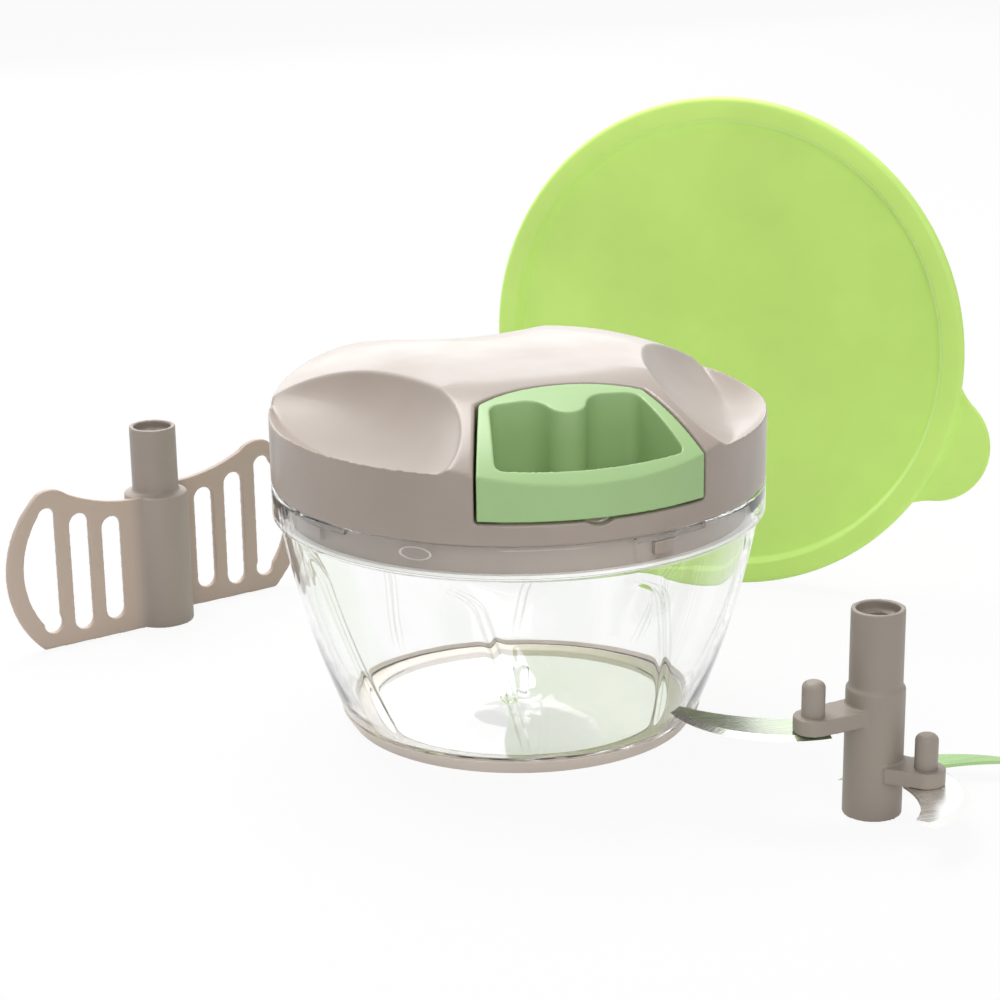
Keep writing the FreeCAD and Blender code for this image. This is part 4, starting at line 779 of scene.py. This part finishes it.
skirt_grey = plastic("skirt_grey", (148, 137, 128), 0.4)
inner_white = plastic("inner_plastic", (206, 203, 196), 0.4)
seal = plastic("seal_rubber", (232, 232, 228), 0.55, depth=0.02)
zinc = metal("screw_steel", (900, 2), (168, 170, 172), (205, 206, 206), 0.25, 0.4)
spring = metal("spring_steel", (120, 3), (96, 98, 104), (138, 134, 128), 0.22, 0.38)
repaint(skirt_grey, "lid_base")
repaint(seal, "rim_seal")
repaint(inner_white, "cord_reel", "spring_housing", "ratchet_wheel", "spindle_bush", "cord_guide",
        "first_pawl", "second_pawl", "drive_spindle")
repaint(zinc, "cover_screws", "housing_screws", "reel_screw", "reel_washer", "pawl_pins")
repaint(spring, "recoil_spring")
repaint(grip_green, "knot_plug")

# %% [markdown]
# ## The foot ring
#
# The soft ring keeps the bowl from sliding. It is turned with rounded corners and a thin lip
# that climbs the outside of the wall, as an overmoulded ring has. The wall's radius at the
# top of the lip comes from the same arc that the bowl was turned from.

# %% Foot ring
LIP = 4.1
wall_foot, wall_centre = Vector(WALL[0]), round_centre(*WALL)
curve = (wall_foot - wall_centre).length
outwards = math.sqrt(curve ** 2 - (LIP - wall_centre.y) ** 2)
wall_radius = wall_centre.x + math.copysign(outwards, wall_foot.x - wall_centre.x)
band = soften([(40.4, 0, 0.4), (45.6, 0, 0.6), (wall_radius + 0.5, LIP, 0.15),
               (wall_radius + 0.06, LIP, 0), (47.46, 2.76, 0), (40.4, 2.76, 0.4)])
foot_ring = turned("foot_band", band + band[:1])
bpy.ops.object.shade_smooth_by_angle(angle=math.radians(40))
foot_grey = plastic("foot_grey", (240, 228, 216), 0.5)
dress(foot_ring, foot_grey, "bowl", ["foot_ring"])
print("foot ring's lip at radius", round(wall_radius, 2))

# %% [markdown]
# ## The pull cord
#
# The cord is braided nylon. Inside the lid and in the handle it is a solid of its own, and
# the stretch between them has to grow as the handle is pulled. A short tube crosses the
# gap, with many rings close together.

# %% Cord
only()
bpy.ops.mesh.primitive_circle_add(vertices=20, radius=1.12 * MM, location=(0, -27.6 * MM, 80 * MM),
                                  rotation=(math.radians(90), 0, 0))
cord = bpy.context.object
cord.name = "cord_run"
bpy.ops.object.mode_set(mode="EDIT")
for rings, length in ((2, 0.8), (48, 0.6), (3, 1.0)):
    move = {"value": (0, -length / rings * MM, 0)}
    for _ in range(rings):
        bpy.ops.mesh.extrude_region_move(TRANSFORM_OT_translate=move)
bpy.ops.mesh.edge_face_add()
bpy.ops.mesh.select_all(action="SELECT")
bpy.ops.mesh.normals_make_consistent(inside=False)
settle(cord)
bpy.ops.object.shade_smooth_by_angle(angle=math.radians(50))
braid = Finish("cord_braid")
weaves = [braid.node("ShaderNodeTexWave", {"bands_direction": "DIAGONAL"},
                     {"Vector": place, "Scale": 420, "Distortion": 1.0}, "Fac")
          for place in (braid.place, braid.stretch(-1, 1, 1))]
strands = weaves[0] * weaves[1]
braid.surface(Base_Color=braid.mix(strands, tint(205, 202, 194), tint(244, 242, 236)),
              Roughness=0.75, Normal=braid.bump(strands, 0.15))
cord.data.materials.append(braid.material)
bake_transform(cord)
repaint(braid, "cord_lead", "cord_end", "cord_winding")

# %% [markdown]
# ## Camera
#
# The view is a long lens from a little above, turned so that the handle points past the
# camera. The lens is shifted to leave room above the bowl for the standing lid.

# %% Camera
DISTANCE = 0.8
tip_down, swing = math.radians(21.012), math.radians(-18)
to_camera = Vector((math.sin(swing) * math.cos(tip_down), -math.cos(swing) * math.cos(tip_down),
                    math.sin(tip_down)))
camera_data = bpy.data.cameras.new("camera")
camera = bpy.data.objects.new("camera", camera_data)
bpy.context.scene.collection.objects.link(camera)
aim = to_camera.to_track_quat("Z", "Y").to_matrix().to_4x4()
roll = Matrix.Rotation(math.radians(-0.665), 4, "Z")
camera.matrix_world = Matrix.Translation(to_camera * DISTANCE) @ aim @ roll
camera_data.sensor_width = 36
camera_data.lens = 106.07
camera_data.shift_x = -0.0211
camera_data.shift_y = 0.2098
camera_data.clip_start = 0.01
bpy.context.scene.camera = camera

# %% [markdown]
# ## Floor and background
#
# The set is a plain white sheet. Most of what the camera, the steel and the clear plastic
# see of it is its own white glow. The rest still takes light, so a faint shadow is left
# under each piece. The world round the set is also brighter to those rays than as a light.

# %% Floor and world
only()
bpy.ops.mesh.primitive_plane_add(size=9, location=(0, 0, -0.02 * MM))
floor = bpy.context.object
floor.name = "floor"
paper = Finish("floor_paper")
rays = [paper.node("ShaderNodeLightPath", {}, {}, name)
        for name in ("Is Camera Ray", "Is Glossy Ray", "Is Transmission Ray")]
seen = rays[0] + rays[1] + rays[2]
glow = paper.node("ShaderNodeEmission", {}, {"Color": (1, 1, 1), "Strength": 1.0})
matt = paper.node("ShaderNodeBsdfDiffuse", {}, {"Color": (0.75, 0.75, 0.75)})
glow_share = paper.between(seen, 0, 1, 0.0, 0.92)
sheet = paper.node("ShaderNodeMixShader", {}, {0: glow_share, 1: matt, 2: glow})
paper.tree.links.new(sheet.socket, paper.tree.nodes["Material Output"].inputs["Surface"])
floor.data.materials.append(paper.material)

world = bpy.data.worlds.new("studio")
bpy.context.scene.world = world
world.use_nodes = True
sky = world.node_tree
path = sky.nodes.new("ShaderNodeLightPath")
sees_it = path.outputs["Is Camera Ray"]
for name in ("Is Glossy Ray", "Is Transmission Ray"):
    either = sky.nodes.new("ShaderNodeMath")
    either.operation = "MAXIMUM"
    sky.links.new(sees_it, either.inputs[0])
    sky.links.new(path.outputs[name], either.inputs[1])
    sees_it = either.outputs[0]
strength = sky.nodes.new("ShaderNodeMapRange")
strength.inputs["To Min"].default_value = 0.45
strength.inputs["To Max"].default_value = 1.0
sky.links.new(sees_it, strength.inputs["Value"])
sky.links.new(strength.outputs[0], sky.nodes["Background"].inputs["Strength"])
sky.nodes["Background"].inputs["Color"].default_value = (1, 1, 1, 1)

# %% [markdown]
# ## Studio light
#
# A large soft lamp hangs above and behind, so that everything that faces up is lighter
# than what faces the camera. A long low one behind lays its reflection along the crown of
# the lid. A weaker lamp in front keeps the upright faces from going dull.

# %% Lamps
LIT_POINT = Vector((0, 0, 60)) * MM


def lamp(name, place, width, height, power):
    """A soft lamp, placed in millimetres, that faces the upper part of the bowl."""
    data = bpy.data.lights.new(name, "AREA")
    data.shape = "RECTANGLE"
    data.size = width * MM
    data.size_y = height * MM
    data.energy = power
    made = bpy.data.objects.new(name, data)
    bpy.context.scene.collection.objects.link(made)
    made.location = Vector(place) * MM
    made.rotation_euler = (made.location - LIT_POINT).to_track_quat("Z", "Y").to_euler()
    made.visible_camera = False


lamp("above", (-100, 450, 1000), 800, 700, 11)
lamp("low_back", (0, 1150, 330), 1300, 450, 2.8)
lamp("front", (-100, -1000, 600), 800, 600, 3.6)
bpy.context.scene.view_settings.view_transform = "Standard"
